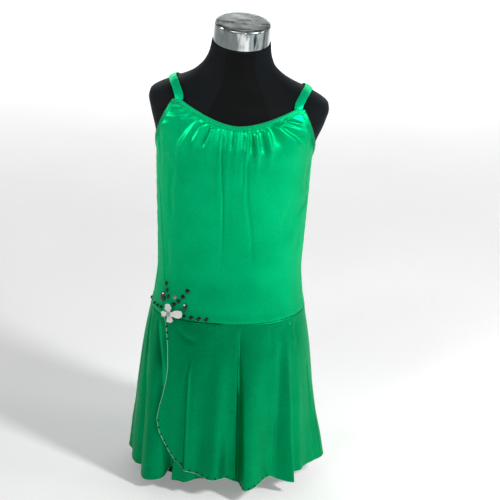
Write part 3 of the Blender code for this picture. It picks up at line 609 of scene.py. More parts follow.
def ring_faces(rings, count, start=0):
    """Faces of rings joined one to the next, with both ends closed."""
    faces = []
    for a in range(start, start + (rings - 1) * count, count):
        for j in range(count):
            k = (j + 1) % count
            faces.append((a + j, a + k, a + count + k, a + count + j))
    faces.append(tuple(range(start + count - 1, start - 1, -1)))
    faces.append(tuple(range(start + (rings - 1) * count, start + rings * count)))
    return faces


def face_out(made):
    data = bmesh.new()
    data.from_mesh(made.data)
    bmesh.ops.recalc_face_normals(data, faces=data.faces)
    data.to_mesh(made.data)
    data.free()


def shell(node, outer, materials, band=None):
    """A cloth node's thin closed shell from its outer grid, lined with the last material.

    Faces where band is true take the second material.
    """
    rows, columns = outer.shape[:2]
    field = grid_normals(outer)
    inner = outer - field * CLOTH
    points = placed(np.concatenate((outer.reshape(-1, 3), inner.reshape(-1, 3))))
    middle = columns // 2
    down = outer[1, middle] - outer[0, middle]
    across = outer[0, middle + 1] - outer[0, middle]
    outward = np.dot(np.cross(across, -down), field[0, middle]) > 0
    # The corners of a face run anticlockwise seen from outside, whichever way the grid is laid.
    first = grid_faces(rows, columns, 0, flip=not outward)
    second = grid_faces(rows, columns, rows * columns, flip=outward)
    place = np.arange(rows * columns).reshape(rows, columns)
    index = np.concatenate((place[0], place[1:, -1], place[-1, -2::-1], place[-2:0:-1, 0]))
    after = np.roll(index, -1)
    rim = np.stack((after, index, index + rows * columns, after + rows * columns), -1)
    if not outward:
        rim = rim[:, ::-1]
    faces = np.concatenate((first, second, rim))
    slots = np.zeros(len(faces), dtype=np.int32)
    if band is not None:
        slots[: len(first)][band[:-1, :-1].ravel()] = 1
    slots[len(first) : len(first) * 2] = len(materials) - 1
    made = add_object(f"{node}_cloth", points, faces.tolist(), materials, slots)
    data = bmesh.new()
    data.from_mesh(made.data)
    if data.calc_volume(signed=True) < 0:
        bmesh.ops.reverse_faces(data, faces=data.faces)
        data.to_mesh(made.data)
    data.free()
    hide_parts(node)
    return made


def thread(name, path, thickness, colour, sides=6):
    """A round thread along a line of points that are not placed yet."""
    path = placed(np.asarray(path))
    ahead = unit(np.gradient(path, axis=0))
    outward = unit(path * np.array([1.0, 1.0, 0.0]) + np.array([1e-4, 0, 0]))
    across = unit(np.cross(ahead, outward))
    up = np.cross(across, ahead)
    turns = circle(sides)
    rings = (
        path[:, None]
        + thickness * across[:, None] * np.cos(turns)[None, :, None]
        + thickness * up[:, None] * np.sin(turns)[None, :, None]
    )
    return add_object(name, rings, ring_faces(len(path), sides), [colour])


def resampled(path, step):
    """Points along a line at even steps."""
    far = walked_along(path)
    at = np.linspace(0, far[-1], max(2, int(round(far[-1] / step)) + 1))
    return np.stack([np.interp(at, far, path[:, k]) for k in range(path.shape[1])], -1)


# The dress form


def make_torso():
    heights = []
    for lower, upper in zip(FORM, FORM[1:]):
        parts = max(2, int(math.ceil((upper.z - lower.z) / FORM_STEP)))
        heights += list(np.linspace(lower.z, upper.z, parts, endpoint=False))
    heights = np.array(heights + [FORM[-1].z])
    rows, count = len(heights), 160
    angles = 360 * np.arange(count) / count
    rings = body_point(FORM, heights[:, None], angles[None, :])
    z = rings[..., 2].copy()
    bend = ease((z - NECK_BEND_Z) / (NECK_TOP_Z - NECK_BEND_Z))
    lift = rings[..., 1] * math.tan(NECK_TILT) * bend
    # A faint princess seam each side of the front and back, as such covers have.
    for seam in (-33, 33, 147, 213):
        off = np.abs((angles - seam + 180) % 360 - 180)
        fade = ease((z - 0.60) / 0.05) * ease((0.755 - z) / 0.02)
        inward = 0.0004 * bell(off, 1.1)[None, :] * fade
        far = np.linalg.norm(rings[..., :2], axis=-1)
        rings[..., :2] -= rings[..., :2] / far[..., None] * inward[..., None]
    rings[..., 2] += lift
    # Faces near the middle of the front and back take the darker copy of the cover: painted shade.
    middle = np.abs((angles + 180) % 360 - 180) < 32.9
    middle |= np.abs(angles - 180) < 33
    slots = np.concatenate((np.tile(middle, rows - 1), [False, False])).astype(np.int32)
    covers = [BLACK, BLACK_PAINTED_SHADE]
    faces = ring_faces(rows, count)
    torso = add_object("form_torso_cover", placed(rings), faces, covers, slots, sharp=45)

    profile = [(CHANNEL_HALF_WIDTH, -0.01)]
    for turn in np.radians(np.linspace(0, 90, 9)):
        x = CHANNEL_HALF_WIDTH - CHANNEL_CORNER * (1 - math.cos(turn))
        profile.append((x, CHANNEL_TOP - CHANNEL_CORNER * (1 - math.sin(turn))))
    profile += [(-x, z) for x, z in reversed(profile)]
    ends = np.array([[(x, y, z) for x, z in profile] for y in (-0.2, 0.2)])
    cutter = add_object("arch_cutter", placed(ends), ring_faces(2, len(profile)), [BLACK])
    face_out(cutter)
    cut = torso.modifiers.new("arch", "BOOLEAN")
    cut.operation = "DIFFERENCE"
    cut.solver = "EXACT"
    cut.object = cutter
    graph = bpy.context.evaluated_depsgraph_get()
    cut_mesh = bpy.data.meshes.new_from_object(torso.evaluated_get(graph))
    torso.modifiers.clear()
    torso.data = cut_mesh
    cut_mesh.shade_smooth()
    cut_mesh.set_sharp_from_angle(angle=math.radians(45))
    bpy.data.objects.remove(cutter, do_unlink=True)
    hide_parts("form_torso")


def make_cap():
    outline = [(0.992, 0.0), (1.0, 0.0006), (1.0, 0.0020)]
    outline += [(1.0, h) for h in np.linspace(0.006, 0.030, 7)]
    outline += [(0.9985, 0.0318), (0.9945, 0.0330), (0.987, 0.0338), (0.970, 0.0345)]
    outline += [(s, 0.0352 + 0.0010 * (0.945 - s)) for s in (0.945, 0.85, 0.7, 0.5, 0.3, 0.12)]
    count = 128
    turn = circle(count)
    rings = []
    for scale, height in outline:
        ahead, up = -CAP_HALF_DEPTH * scale * np.cos(turn), height + SEAM
        y = ahead * math.cos(NECK_TILT) - up * math.sin(NECK_TILT)
        z = NECK_TOP_Z + ahead * math.sin(NECK_TILT) + up * math.cos(NECK_TILT)
        rings.append(np.stack((CAP_HALF_WIDTH * scale * np.sin(turn), y, z), -1))
    tops = [height > CAP_TOP_EDGE for _, height in outline[:-1]]
    slots = np.append(np.repeat(tops, count), (False, True)).astype(np.int32)
    faces = ring_faces(len(outline), count)
    metals = [CHROME, BRUSHED]
    cap = add_object(
        "form_neck_cap_metal", placed(np.array(rings)), faces, metals, slots, sharp=35
    )
    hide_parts("form_neck_cap")


# The bodice


def top_edge(line, share):
    """Angle from the panel's middle and height of the top edge, by share of the half panel."""
    neck = np.clip(share / NECK_SHARE, 0, 1)
    strap = np.clip((share - NECK_SHARE) / (STRAP_SHARE - NECK_SHARE), 0, 1)
    arm = np.clip((share - STRAP_SHARE) / (1 - STRAP_SHARE), 0, 1)
    strap_angle = line.inner + (line.outer - line.inner) * strap
    arm_angle = (line.side - line.outer) * arm**line.arm_power
    neck_z = line.low_z + (line.corner_z - line.low_z) * neck**line.neck_power
    arm_z = line.corner_z - (line.corner_z - ARMHOLE_Z) * arm**line.drop_power
    at_neck = share <= NECK_SHARE
    angle = np.where(at_neck, line.inner * neck, strap_angle + arm_angle)
    return angle, np.where(at_neck, neck_z, arm_z)


def ridges(angle, z, neck_z):
    lift = np.zeros(angle.shape)
    for ridge in RIDGES:
        t = (neck_z - z) / np.maximum(neck_z - ridge.foot_z, 0.001)
        middle = ridge.neck_angle + (ridge.foot_angle - ridge.neck_angle) * t
        off = np.clip((angle - middle) / ridge.half, -1, 1)
        shape = ridge.depth * (0.5 + 0.5 * np.cos(math.pi * off)) * np.clip(1 - t, 0, 1)
        lift += np.where(z < ridge.foot_z, 0.0, shape * ease(t / 0.10))
    return lift


def waist_z(angle):
    return along(WAIST, (angle + 90) % 360 - 90, "z")


def bodice_clear(z, angle):
    return BODICE_CLEAR + 0.0011 * ease((waist_z(angle) + 0.018 - z) / 0.018)


def waist_share(share, at_back):
    if not at_back:
        return share
    return np.where(
        share < STRAP_SHARE,
        share * BACK_WAIST_SHARE / STRAP_SHARE,
        1 - (1 - share) * (1 - BACK_WAIST_SHARE) / (1 - STRAP_SHARE),
    )


def gather_creases(line, seed, spread_angle):
    """Fine seeded gathers that hang from the neck edge."""
    rng = np.random.default_rng(seed)
    made = []
    for k in range(GATHERS):
        angle = -spread_angle + 2 * spread_angle * (k + rng.uniform(0.1, 0.9)) / GATHERS
        share = abs(angle) / line.inner
        top = line.low_z + (line.corner_z - line.low_z) * share**line.neck_power
        top -= BAND_WIDTH * 0.9
        length = rng.uniform(0.010, 0.034) * (1 + 0.5 * share)
        lean = angle * 0.16 * length / 0.03 + rng.uniform(-0.5, 0.5)
        depth = rng.choice((-1, 1)) * rng.uniform(0.00022, 0.00050)
        width = rng.uniform(0.0008, 0.0014)
        made.append(Crease(((angle, top), (angle + lean, top - length)), depth, width))
    return tuple(made)


def edge_line(line, count):
    """The panel's top edge as signed angles and heights."""
    share = np.linspace(-1, 1, count)
    angle, z = top_edge(line, np.abs(share))
    return np.sign(share) * angle, z


def world_angle(angle, at_back):
    return 180 - angle if at_back else angle


def to_edge(base, b, line, at_back):
    """Distance of each point from the top edge, and where along the edge it is nearest."""
    angle, z = edge_line(line, 700)
    world = world_angle(angle, at_back)
    edge = body_point(FORM, z, world, bodice_clear(z, world) + BODICE_WALL)
    walked = walked_along(edge)
    distance, arc = np.full(base.shape[:2], 1.0), np.zeros(base.shape[:2])
    for i in range(len(base)):
        if b[i, 0] >= 0.80:
            gap = np.linalg.norm(base[i][:, None] - edge[None], axis=-1)
            near = gap.argmin(1)
            distance[i] = gap[np.arange(len(near)), near]
            arc[i] = walked[near]
    return distance, arc


def make_bodice_panel(node, line, at_back, creases, columns, rows_low, rows_high):
    arm_columns = columns // 6
    share = np.concatenate(
        (
            np.linspace(-1, -STRAP_SHARE, arm_columns, endpoint=False),
            np.linspace(-STRAP_SHARE, STRAP_SHARE, columns - 2 * arm_columns, endpoint=False),
            np.linspace(STRAP_SHARE, 1, arm_columns + 1),
        )
    )[None, :]
    low_rows = np.linspace(0, FINE_FROM, rows_low, endpoint=False)
    b = np.concatenate((low_rows, np.linspace(FINE_FROM, 1, rows_high)))[:, None]
    size = np.abs(share)
    top_angle, top_z = top_edge(line, size)
    low_side = 180 - SIDE_ANGLE_WAIST if at_back else SIDE_ANGLE_WAIST
    angle = waist_share(size, at_back) * low_side
    bottom = waist_z(world_angle(angle * np.sign(share), at_back)) + SEAM
    z = bottom + (top_z - bottom) * b
    angle = angle + (top_angle - angle) * b ** (1.4 + 1.2 * size**6 if at_back else 2.6)
    angle = (angle - np.where(size > 0.999, 0.12, 0.0)) * np.sign(share)
    world = world_angle(angle, at_back)
    out = bodice_clear(z, world) + BODICE_WALL
    distance, arc = to_edge(body_point(FORM, z, world, out), b, line, at_back)

    lift = np.zeros(z.shape) if at_back else ridges(angle, z, np.broadcast_to(top_z, z.shape))
    lift = lift * ease((distance - BAND_WIDTH * 0.6) / 0.006)
    broad = tuple(crease._replace(width=crease.width * CREASE_BROAD) for crease in creases)
    below_band = ease((distance - BAND_WIDTH * 0.7) / 0.004)
    lift += CREASE_GAIN * creased(broad, angle, z) * below_band
    if not at_back:
        lift += creased(LEFT_LINE, angle, z)
    gathers = gather_creases(line, 11, 33.0) if at_back else gather_creases(line, 7, 36.0)
    lift += creased(gathers, angle, z)
    flat = angle * BODICE_SCALE
    lift += 0.00022 * unevenness(flat, z, 3, 0.06)
    # The elastic band, the groove at its lower edge, the rounded turn at the top and its puckers.
    on_band = ease((BAND_WIDTH + 0.0004 - distance) / 0.0008)
    lift += BAND_RAISE * on_band
    lift -= 0.00030 * bell(distance - BAND_WIDTH - 0.0005, 0.0006)
    lift -= 0.00045 * bell(distance, 0.0007)
    pucker = ripple(arc, 0.0042, 1.5, 0.031)
    lift += 0.00012 * pucker * bell(distance - BAND_WIDTH * 0.8, 0.0045)
    # Puckers at the waist seam.
    height = z - waist_z(world)
    lift += 0.00022 * ripple(flat, 0.0065, 2.2, 0.041) * bell(height, 0.007)
    lift -= 0.00035 * bell(height, 0.0018)
    # The groove along the side seams, the turning beside it and its puckers.
    upward = np.clip((z - bottom) / (ARMHOLE_Z - bottom), 0, 1) ** 2.6
    side = low_side + (top_edge(line, np.array(1.0))[0] - low_side) * upward
    seam = (side - np.abs(angle)) * SEAM_SCALE
    below_arm = ease((ARMHOLE_Z - z) / 0.02)
    lift -= 0.0011 * bell(seam, 0.0018) * below_arm
    lift += 0.0004 * bell(seam - 0.0052, 0.0028) * below_arm
    lift += 0.00022 * ripple(z, 0.017, 2, 0.07) * bell(seam - 0.004, 0.004)

    outer = body_point(FORM, z, world, out + np.maximum(lift, DEEPEST))
    if at_back:
        outer, on_band = outer[:, ::-1], on_band[:, ::-1]
    return shell(node, outer, [GREEN, BAND, LINING], band=on_band > 0.5)


def make_band_threads(name, line, at_back):
    """Zigzag stitches on the elastic band, and the thin turned edge above them."""
    angle, z = edge_line(line, 900)
    world = world_angle(angle, at_back)
    edge = body_point(FORM, z, world, bodice_clear(z, world) + BODICE_WALL + BAND_RAISE)
    walked = walked_along(edge)
    total = walked[-1]
    count = int(total / 0.00125)
    at = np.linspace(0.002, total - 0.002, count)
    a, h = np.interp(at, walked, angle), np.interp(at, walked, z)
    scale = radius(FORM, h, world_angle(a, at_back)) * math.pi / 180
    du, dz = np.gradient(a * scale), np.gradient(h)
    length = np.maximum(np.hypot(du, dz), 1e-9)
    # The inward way is down and towards the panel's middle.
    nu, nz = dz / length, -du / length
    flip = np.where(nz - nu * np.sign(a) * 0.3 > 0, -1.0, 1.0)
    inset = flip * np.where(np.arange(count) % 2 == 0, 0.0030, 0.0062)
    pa, pz = a + nu * inset / scale, h + nz * inset
    out = BODICE_CLEAR + BODICE_WALL + BAND_RAISE + 0.00005
    zigzag = body_point(FORM, pz, world_angle(pa, at_back), out)
    stitches = thread(f"{name}_zigzag", zigzag, 0.00022, STITCH, 5)
    rim = thread(f"{name}_edge_thread", resampled(edge, 0.0030), 0.00030, STITCH)
    return [stitches, rim]


# Straps


def shoulder_height(x, y):
    angle, far = math.degrees(math.atan2(x, -y)), math.hypot(x, y)
    return bisect(0.62, NECK_TOP_Z, lambda z: radius(FORM, z, angle) > far)


def strap_place(sign, t):
    """Point of a strap's middle line on the form, from its front corner to its back one."""
    front_angle = (FRONT_LINE.inner + FRONT_LINE.outer) / 2
    back_angle = 180 - (BACK_LINE.inner + BACK_LINE.outer) / 2
    start = body_point(FORM, FRONT_LINE.corner_z, front_angle)
    stop = body_point(FORM, BACK_LINE.corner_z, back_angle)
    if t in (0, 1):
        x, y, z = stop if t else start
        return Vector((sign * x, y, z + SEAM))
    y = start[1] + (stop[1] - start[1]) * t
    x = start[0] + (stop[0] - start[0]) * t + STRAP_BOW * math.sin(math.pi * t)
    return Vector((sign * x, y, shoulder_height(x, y)))


def make_straps():
    stations = (0.0, 0.03, 0.09, 0.17, 0.26, 0.36, 0.46, 0.56, 0.66, 0.76, 0.85, 0.93, 0.975, 1.0)
    made = []
    for name, sign in (("strap_left", -1), ("strap_right", 1)):
        path = [strap_place(sign, t) for t in stations]
        frames = []
        for i, centre in enumerate(path):
            ahead = (path[min(i + 1, len(path) - 1)] - path[max(i - 1, 0)]).normalized()
            if i in (0, len(path) - 1):
                up = Vector((centre.x * 0.25, centre.y, 0)).normalized()
                across = Vector((-up.y, up.x, 0)).normalized()
            else:
                up = Vector((1, 0, 0)).cross(ahead).normalized()
                if up.z < 0:
                    up.negate()
                side = Vector((centre.x, 0, 0)).normalized()
                tilt = 0.55 * math.sin(math.pi * stations[i])
                up = (up + side * tilt).normalized()
                across = ahead.cross(up).normalized()
            if across.x < 0:
                across.negate()
            lifted = centre + up * (0.0013 + STRAP_THICKNESS / 2)
            frames.append((*lifted, *across, *up))
        frames = np.array(frames)
        at = np.linspace(0, 1, 90)
        smooth = np.stack([np.interp(at, stations, frames[:, k]) for k in range(9)], -1)
        for _ in range(5):
            smooth[1:-1] = (smooth[:-2] + 2 * smooth[1:-1] + smooth[2:]) / 4
        turns = circle(28)
        cos, sin = np.cos(turns), np.sin(turns)
        wide = STRAP_WIDTH / 2 * np.sign(cos) * np.abs(cos) ** 0.7
        wave = 1 + 0.02 * np.sin(at * 31)[:, None]
        thick = STRAP_THICKNESS / 2 * np.sign(sin) * np.abs(sin) ** 0.8
        thick = thick - np.sign(sin) * 0.00022 * bell(np.abs(wide) - 0.0050, 0.0007)
        rings = (
            smooth[:, None, :3]
            + unit(smooth[:, 3:6])[:, None] * (wide[None] * wave)[..., None]
            + unit(smooth[:, 6:9])[:, None] * thick[None, :, None]
        )
        faces = ring_faces(*rings.shape[:2])
        strap = add_object(f"{name}_cloth", placed(rings), faces, [STRAP], sharp=70)
        face_out(strap)
        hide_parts(name)
        made.append(strap)
    return made


# The skirt


def skirt_share(z):
    return np.clip((WAIST_Z - z) / SKIRT_DROP, 0.0, 1.1)


def skirt_point(angle, z, folds, raised):
    """Points of the skirt's outer surface."""
    angle, z = np.broadcast_arrays(angle, z)
    down = skirt_share(z)
    out, turn = np.zeros(angle.shape), np.zeros(angle.shape)
    for fold in folds:
        grown = np.clip((down - fold.start) / (1 - fold.start), 0, None) ** 1.15
        middle = fold.waist_angle + (fold.hem_angle - fold.waist_angle) * down
        off = (angle - middle + 180) % 360 - 180
        off = off / np.where(off > 0, fold.far_half or fold.half, fold.half)
        shape = np.where(np.abs(off) < 1, 0.5 + 0.5 * np.cos(math.pi * off), 0.0)
        out += fold.depth * shape * grown
        turn += fold.lean * shape * grown
    return body_point(SKIRT, z, angle + turn, out + raised)


def hem_z(angle):
    return along(HEM, (angle + 90) % 360 - 90, "z")


def overlay_layer(angle, z):
    return (0.0018 + 0.0016 * skirt_share(z)) * ease((2 - angle) / 14)


def overlay_hem(angle):
    return np.where(angle < CORNER[-1].angle, along(CORNER, angle, "z"), hem_z(angle))


def under_hem(angle):
    off = np.clip(np.abs(angle - NOTCH_ANGLE) / NOTCH_HALF, 0, 1)
    return hem_z(angle) + NOTCH_RISE * (0.5 + 0.5 * np.cos(math.pi * off))


def skirt_relief(angle, z, creases, seed):
    """Creases, waist puckers and a little unevenness of a skirt panel."""
    flat = angle * SEAM_SCALE
    down = waist_z(angle) - z
    lift = creased(creases, angle, z, SKIRT_SCALE)
    lift += 0.00035 * unevenness(flat, z * 0.35, seed, 0.05) * ease(down / 0.03)
    patch = np.clip(0.45 + 0.6 * unevenness(flat, 0 * z, seed + 40, 0.03), 0.0, 1.0)
    pucker = patch * ripple(flat, 0.0075, 2.0, 0.045)
    lift += 0.00024 * pucker * bell(down, 0.009) * ease(down / 0.0012)
    lift -= 0.0006 * bell(down, 0.0016)
    return lift


def skirt_rows(count):
    t = np.linspace(0, 1, count)
    return (0.75 * t + 0.25 * t**2)[:, None]


def make_overlay(right):
    """The front overlay, and its outer surface before it is placed."""
    b = skirt_rows(OVERLAY_ROWS)
    left = along(EDGE, WAIST_Z + (EDGE[0].z - WAIST_Z) * b, "angle")
    low = EDGE[0].angle
    share = np.linspace(0, 1, 400)[None, :]
    angle = left + (right - left) * share
    top = waist_z(EDGE[-1].angle + (right - EDGE[-1].angle) * share)
    z = top + (overlay_hem(low + (right - low) * share) - top) * b
    raised = overlay_layer(angle, z) + skirt_relief(angle, z, OVERLAY_CREASES, 5)
    outer = skirt_point(angle, z, SHARED_FOLDS, raised)
    return shell("skirt_front", outer, [SKIRT_GREEN_PAINTED_SHADE, LINING]), outer


def make_edge_stones(outer):
    """Small stones along the overlay's edge, three near the top and a row round the corner."""
    field = grid_normals(outer)
    from_edge = np.linalg.norm(outer[60] - outer[60, :1], axis=-1)
    from_hem = np.linalg.norm(outer[::-1, 200] - outer[-1:, 200], axis=-1)
    column = int(np.argmax(from_edge > 0.0026))
    row = OVERLAY_ROWS - 1 - int(np.argmax(from_hem > 0.0030))
    inset = np.concatenate((outer[: row + 1, column], outer[row, column + 1 :]))
    out = np.concatenate((field[: row + 1, column], field[row, column + 1 :]))
    walked = walked_along(inset)
    heights = inset[: row + 1, 2]
    places = [
        float(np.interp(-h, -heights, walked[: row + 1])) for h in (0.296, 0.286, 0.276, 0.128)
    ]
    bearing = np.degrees(np.arctan2(inset[:, 0], -inset[:, 1]))
    last = walked[int(np.argmax((bearing > 36) & (np.arange(len(inset)) > row)))]
    rng = np.random.default_rng(21)
    at = places[-1] + 0.0125 + rng.uniform(-0.0012, 0.0012)
    while at < last:
        places.append(at)
        at += 0.0125 + rng.uniform(-0.0012, 0.0012)
    points, faces = [], []
    for number, at in enumerate(places):
        centre = np.array([np.interp(at, walked, inset[:, k]) for k in range(3)])
        up = unit(np.array([np.interp(at, walked, out[:, k]) for k in range(3)]))
        side = unit(np.cross(up, (0, 0, 1.0)))
        other = np.cross(side, up)
        size = 0.0021 if number < 3 else 0.0016
        faces += ring_faces(4, 8, len(points))
        for scale, level in ((1.0, -0.0001), (1.0, 0.0004), (0.6, 0.0011), (0.25, 0.0013)):
            for turn in circle(8):
                aside = side * math.cos(turn) + other * math.sin(turn)
                points.append(placed(centre + up * level + size * scale * aside))
    stones = add_object("edge_stones", np.array(points), faces, [STONE], smooth=False)
    face_out(stones)
    return stones


def make_skirt():
    gap = math.degrees(SEAM / 0.14)
    side = SKIRT_SEAM_ANGLE
    overlay, outer = make_overlay(side - gap)
    pieces = [overlay]
    under_angle = np.linspace(-side + gap, UNDER_END_ANGLE, 190)[None, :]
    back_angle = np.linspace(side + gap, 360 - side - gap, 380)[None, :]
    under_folds = SHARED_FOLDS + UNDER_FOLDS
    for name, angle, folds, hem_line, creases, seed, colour in (
        ("skirt_under", under_angle, under_folds, under_hem, UNDER_CREASES, 6, THREAD),
        ("skirt_back", back_angle, SHARED_FOLDS, hem_z, BACK_SKIRT_CREASES, 8, STITCH),
    ):
        z = waist_z(angle) + (hem_line(angle) - waist_z(angle)) * skirt_rows(PANEL_ROWS)
        grid = skirt_point(angle, z, folds, skirt_relief(angle, z, creases, seed))
        pieces.append(shell(name, grid, [SKIRT_GREEN_PAINTED_SHADE, LINING]))
        hem = resampled(grid[-1], THREAD_STEP)
        cord = thread(f"{name}_hem_thread", hem, 0.00045, colour)
        pieces.append(cord)

    # The overlay's edge: a pale overlocked line down the wrap, round the corner and on the hem.
    rim = resampled(np.concatenate((outer[:, 0], outer[-1, 1:])), THREAD_STEP)
    cord = thread("skirt_front_edge_thread", rim, 0.00055, THREAD)
    return pieces + [cord, make_edge_stones(outer)]


# The brief


def angle_at_x(z, x):
    low = bisect(0.0, 90.0, lambda angle: body_point(FORM, z, angle)[0] < abs(x))
    return math.copysign(low, x)


def make_brief():
    low_rows = np.linspace(LEG_TOP_Z, CHANNEL_TOP + 0.003, 44)
    heights = np.concatenate((np.linspace(WAIST_Z, LEG_TOP_Z, 30, endpoint=False), low_rows))
    side_angle = 90 - math.degrees(SEAM * 0.6 / 0.13)
    low = angle_at_x(CHANNEL_TOP + 0.002, GUSSET_HALF_WIDTH)
    share = np.clip((heights - CHANNEL_TOP) / (LEG_TOP_Z - CHANNEL_TOP), 0, 1)
    half = (low + (side_angle - low) * share)[:, None]
    heights = heights[:, None]
    across = np.linspace(-1, 1, 72)[None, :]
    out = BRIEF_CLEAR + (LEG_CLEAR - BRIEF_CLEAR) * ease((0.25 - heights) / 0.05) + BRIEF_WALL
    angle = half * across
    relief = 0.00018 * unevenness(angle * 0.002, heights, 31, 0.03)
    near_edge = (1 - np.abs(across)) * half * 0.0022
    leg = ease((0.20 - heights) / 0.02)
    relief = relief + 0.0003 * ease((0.006 - near_edge) / 0.001) * leg
    pieces = []
    for name, at_back in (("brief_front", False), ("brief_back", True)):
        grid = body_point(FORM, heights, world_angle(angle, at_back), out + relief - 0.0002)
        last = grid[-1]
        under = CHANNEL_TOP - GUSSET_CLEAR - BRIEF_WALL
        rows = [grid]
        for depth in (0.0, 0.004, 0.012, 0.03, 0.06, 1.0):
            inward = np.sign(-last[:, 1])
            y = last[:, 1] + inward * depth if depth < 1 else -inward * SEAM * 0.6
            x = last[:, 0] * GUSSET_HALF_WIDTH / max(abs(last[0, 0]), 1e-6)
            rows.append(np.stack((x, y, np.full(len(x), under)), -1)[None])
        grid = np.concatenate(rows)
        if at_back:
            grid = grid[:, ::-1]
        pieces.append(shell(name, grid, [GREEN, LINING]))
    return pieces


# Flower and stones


Petal = namedtuple("Petal", "node direction length width lift")
PETALS = (
    Petal("flower_petal_top", 108, 0.0180, 0.0170, 0.0012),
    Petal("flower_petal_right", 12, 0.0262, 0.0180, 0.0016),
    Petal("flower_petal_left", 192, 0.0160, 0.0130, 0.0016),
    Petal("flower_petal_bottom", 284, 0.0150, 0.0165, 0.0005),
)
PETAL_INNER = 0.0012
FLOWER_X, FLOWER_Z = -0.0925, 0.3195
FLOWER_SEAT = 0.0062


def on_cloth(x, z, across, up, out):
    middle = angle_at_x(z, x)
    height = z + up
    first = body_point(FORM, height, middle - 0.5)
    second = body_point(FORM, height, middle + 0.5)
    per_degree = np.linalg.norm(second - first, axis=-1)
    return body_point(FORM, height, middle + across / per_degree, out)


def make_flower():
    pieces = []
    turns = circle(72)
    scales = (1.0, 0.985, 0.93, 0.84, 0.7, 0.52, 0.34, 0.16)
    ahead = np.cos(turns)
    for number, petal in enumerate(PETALS):
        half = (petal.length - PETAL_INNER) / 2
        way = math.radians(petal.direction)
        seat = FLOWER_SEAT + petal.lift
        # The rings run from the middle to the rim on top, and back underneath.
        rings = []
        for side, scale in [(1, s) for s in scales[::-1]] + [(-1, s) for s in scales]:
            frill = 0.035 * np.sin(turns * 11 + number) + 0.02 * np.sin(turns * 23)
            frill = scale * (1 + frill * scale**6)
            reach = PETAL_INNER + half * (1 + frill * ahead)
            aside = petal.width / 2 * frill * np.sin(turns) * (0.72 + 0.28 * ahead)
            level = 0.0006 * scale**8 * np.sin(turns * 5 + number * 2)
            level += 0.0014 - 0.0011 * (1 - scale**2)
            level += 0.00010 * np.sin(turns * 17) * scale * (1 - scale)
            level += side * 0.00035 * (1 - 0.6 * scale**10)
            across = reach * math.cos(way) - aside * math.sin(way)
            up = reach * math.sin(way) + aside * math.cos(way)
            rings.append(on_cloth(FLOWER_X, FLOWER_Z, across, up, seat + level))
        faces = ring_faces(len(rings), len(turns))
        made = add_object(f"{petal.node}_cloth", placed(np.array(rings)), faces, [PETAL])
        face_out(made)
        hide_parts(petal.node)
        pieces.append(made)
    return pieces


def dress_nodes():
    """Materials for the CAD nodes that stay: the stones and the flower's centre."""
    colours = {"stone_heart": CLEAR, "stone_drop": TEAL, "stone_oval": TEAL, "flower_centre": BEAD}
    for name, node in frame["nodes"].items():
        if name.startswith("stone_") or name == "flower_centre":
            for slot in node.material_slots:
                slot.material = colours.get(name, STONE)


# Stage, camera and lights


def make_stage():
    size = 12.0
    corners = [(-size, -size, 0), (size, -size, 0), (size, size, 0), (-size, size, 0)]
    mesh = bpy.data.meshes.new("studio_floor")
    mesh.from_pydata(corners, [], [(0, 1, 2, 3)])
    made, tree, shader = shader_nodes("pale_floor")
    stops = ((0.3, (0.84, 0.84, 0.84)), (0.7, (0.88, 0.88, 0.88)))
    tree.links.new(ramp(tree, noise(tree, 3, 3), stops), shader.inputs["Base Color"])
    glow = {"Emission Color": (1.0, 1.0, 1.0, 1.0), "Emission Strength": 0.26}
    set_inputs(shader, {"Roughness": 0.9, "Specular IOR Level": 0.1, **glow})
    mesh.materials.append(made)
    floor = bpy.data.objects.new("studio_floor", mesh)
    bpy.context.scene.collection.objects.link(floor)


def add_light(name, place, aim, power, wide, high, spread_angle=180):
    data = bpy.data.lights.new(name, "AREA")
    data.shape = "RECTANGLE"
    data.size, data.size_y = wide, high
    data.energy = power
    data.spread = math.radians(spread_angle)
    made = bpy.data.objects.new(name, data)
    bpy.context.scene.collection.objects.link(made)
    made.location = place
    made.rotation_euler = (Vector(aim) - Vector(place)).to_track_quat("-Z", "Y").to_euler()


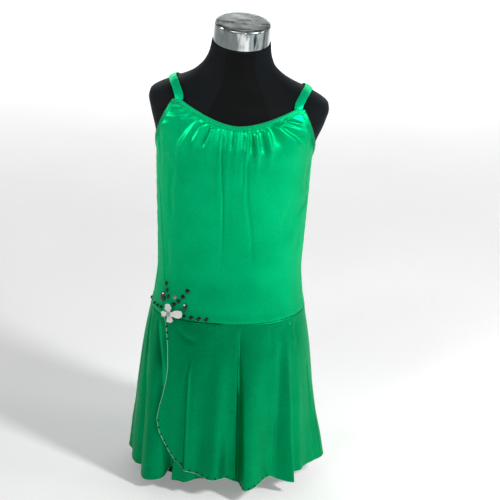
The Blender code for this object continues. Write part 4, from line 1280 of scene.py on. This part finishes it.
def make_camera():
    pitch, roll = math.radians(18.45), math.radians(2.6)
    forward = Vector((0, math.cos(pitch), -math.sin(pitch)))
    up = Vector((0, math.sin(pitch), math.cos(pitch)))
    right = Vector((1, 0, 0))
    side = right * math.cos(roll) + up * math.sin(roll)
    top = up * math.cos(roll) - right * math.sin(roll)
    data = bpy.data.cameras.new("camera")
    data.sensor_width = 36.0
    data.lens = 1458 / 500 * 36
    made = bpy.data.objects.new("camera", data)
    bpy.context.scene.collection.objects.link(made)
    turn = Matrix((side, top, -forward)).transposed().to_4x4()
    made.matrix_world = Matrix.Translation((0.0286, -2.422, 1.223)) @ turn
    bpy.context.scene.camera = made


def make_light():
    world = bpy.data.worlds.new("studio")
    world.use_nodes = True
    back = world.node_tree.nodes["Background"]
    back.inputs["Color"].default_value = (1.0, 1.0, 1.0, 1.0)
    back.inputs["Strength"].default_value = 0.075
    bpy.context.scene.world = world
    add_light("key_right", (1.35, -1.05, 1.60), (0, 0, 0.50), 34, 0.26, 0.40)
    add_light("key_left", (-0.75, -1.45, 2.05), (0, 0, 0.76), 0.35, 0.35, 0.45, 28)
    add_light("chest_front", (0.45, -2.0, 1.30), (0, 0, 0.60), 0.08, 0.25, 0.35, 18)
    add_light("side_right", (2.0, -0.3, 1.0), (0, 0, 0.3), 8, 0.6, 1.2)
    add_light("side_left", (-2.1, 0.1, 1.2), (0, 0, 0.4), 3, 0.6, 1.2)
    add_light("chest_left", (-1.9, -0.35, 1.40), (-0.1, 0, 0.68), 0.65, 0.30, 0.45, 26)
    add_light("sweep", (0, 7.5, 2.9), (0, 7.0, 0), 640, 10.0, 6.0)


def main():
    make_camera()
    make_torso()
    make_cap()
    front = make_bodice_panel("bodice_front", FRONT_LINE, False, FRONT_CREASES, 330, 100, 48)
    front_threads = make_band_threads("bodice_front", FRONT_LINE, False)
    back = make_bodice_panel("bodice_back", BACK_LINE, True, BACK_CREASES, 240, 70, 36)
    back_threads = make_band_threads("bodice_back", BACK_LINE, True)
    straps = make_straps()
    overlay, under, under_hem, rear, rear_hem, edge, stones = make_skirt()
    briefs = make_brief()
    petals = make_flower()
    dress_nodes()
    make_stage()
    make_light()
    bpy.context.scene.view_settings.view_transform = "Standard"
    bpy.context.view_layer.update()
    for one in bpy.data.objects:
        if one.type == "MESH" and not one.hide_render:
            print(one.name, sum(len(face.vertices) - 2 for face in one.data.polygons))


main()
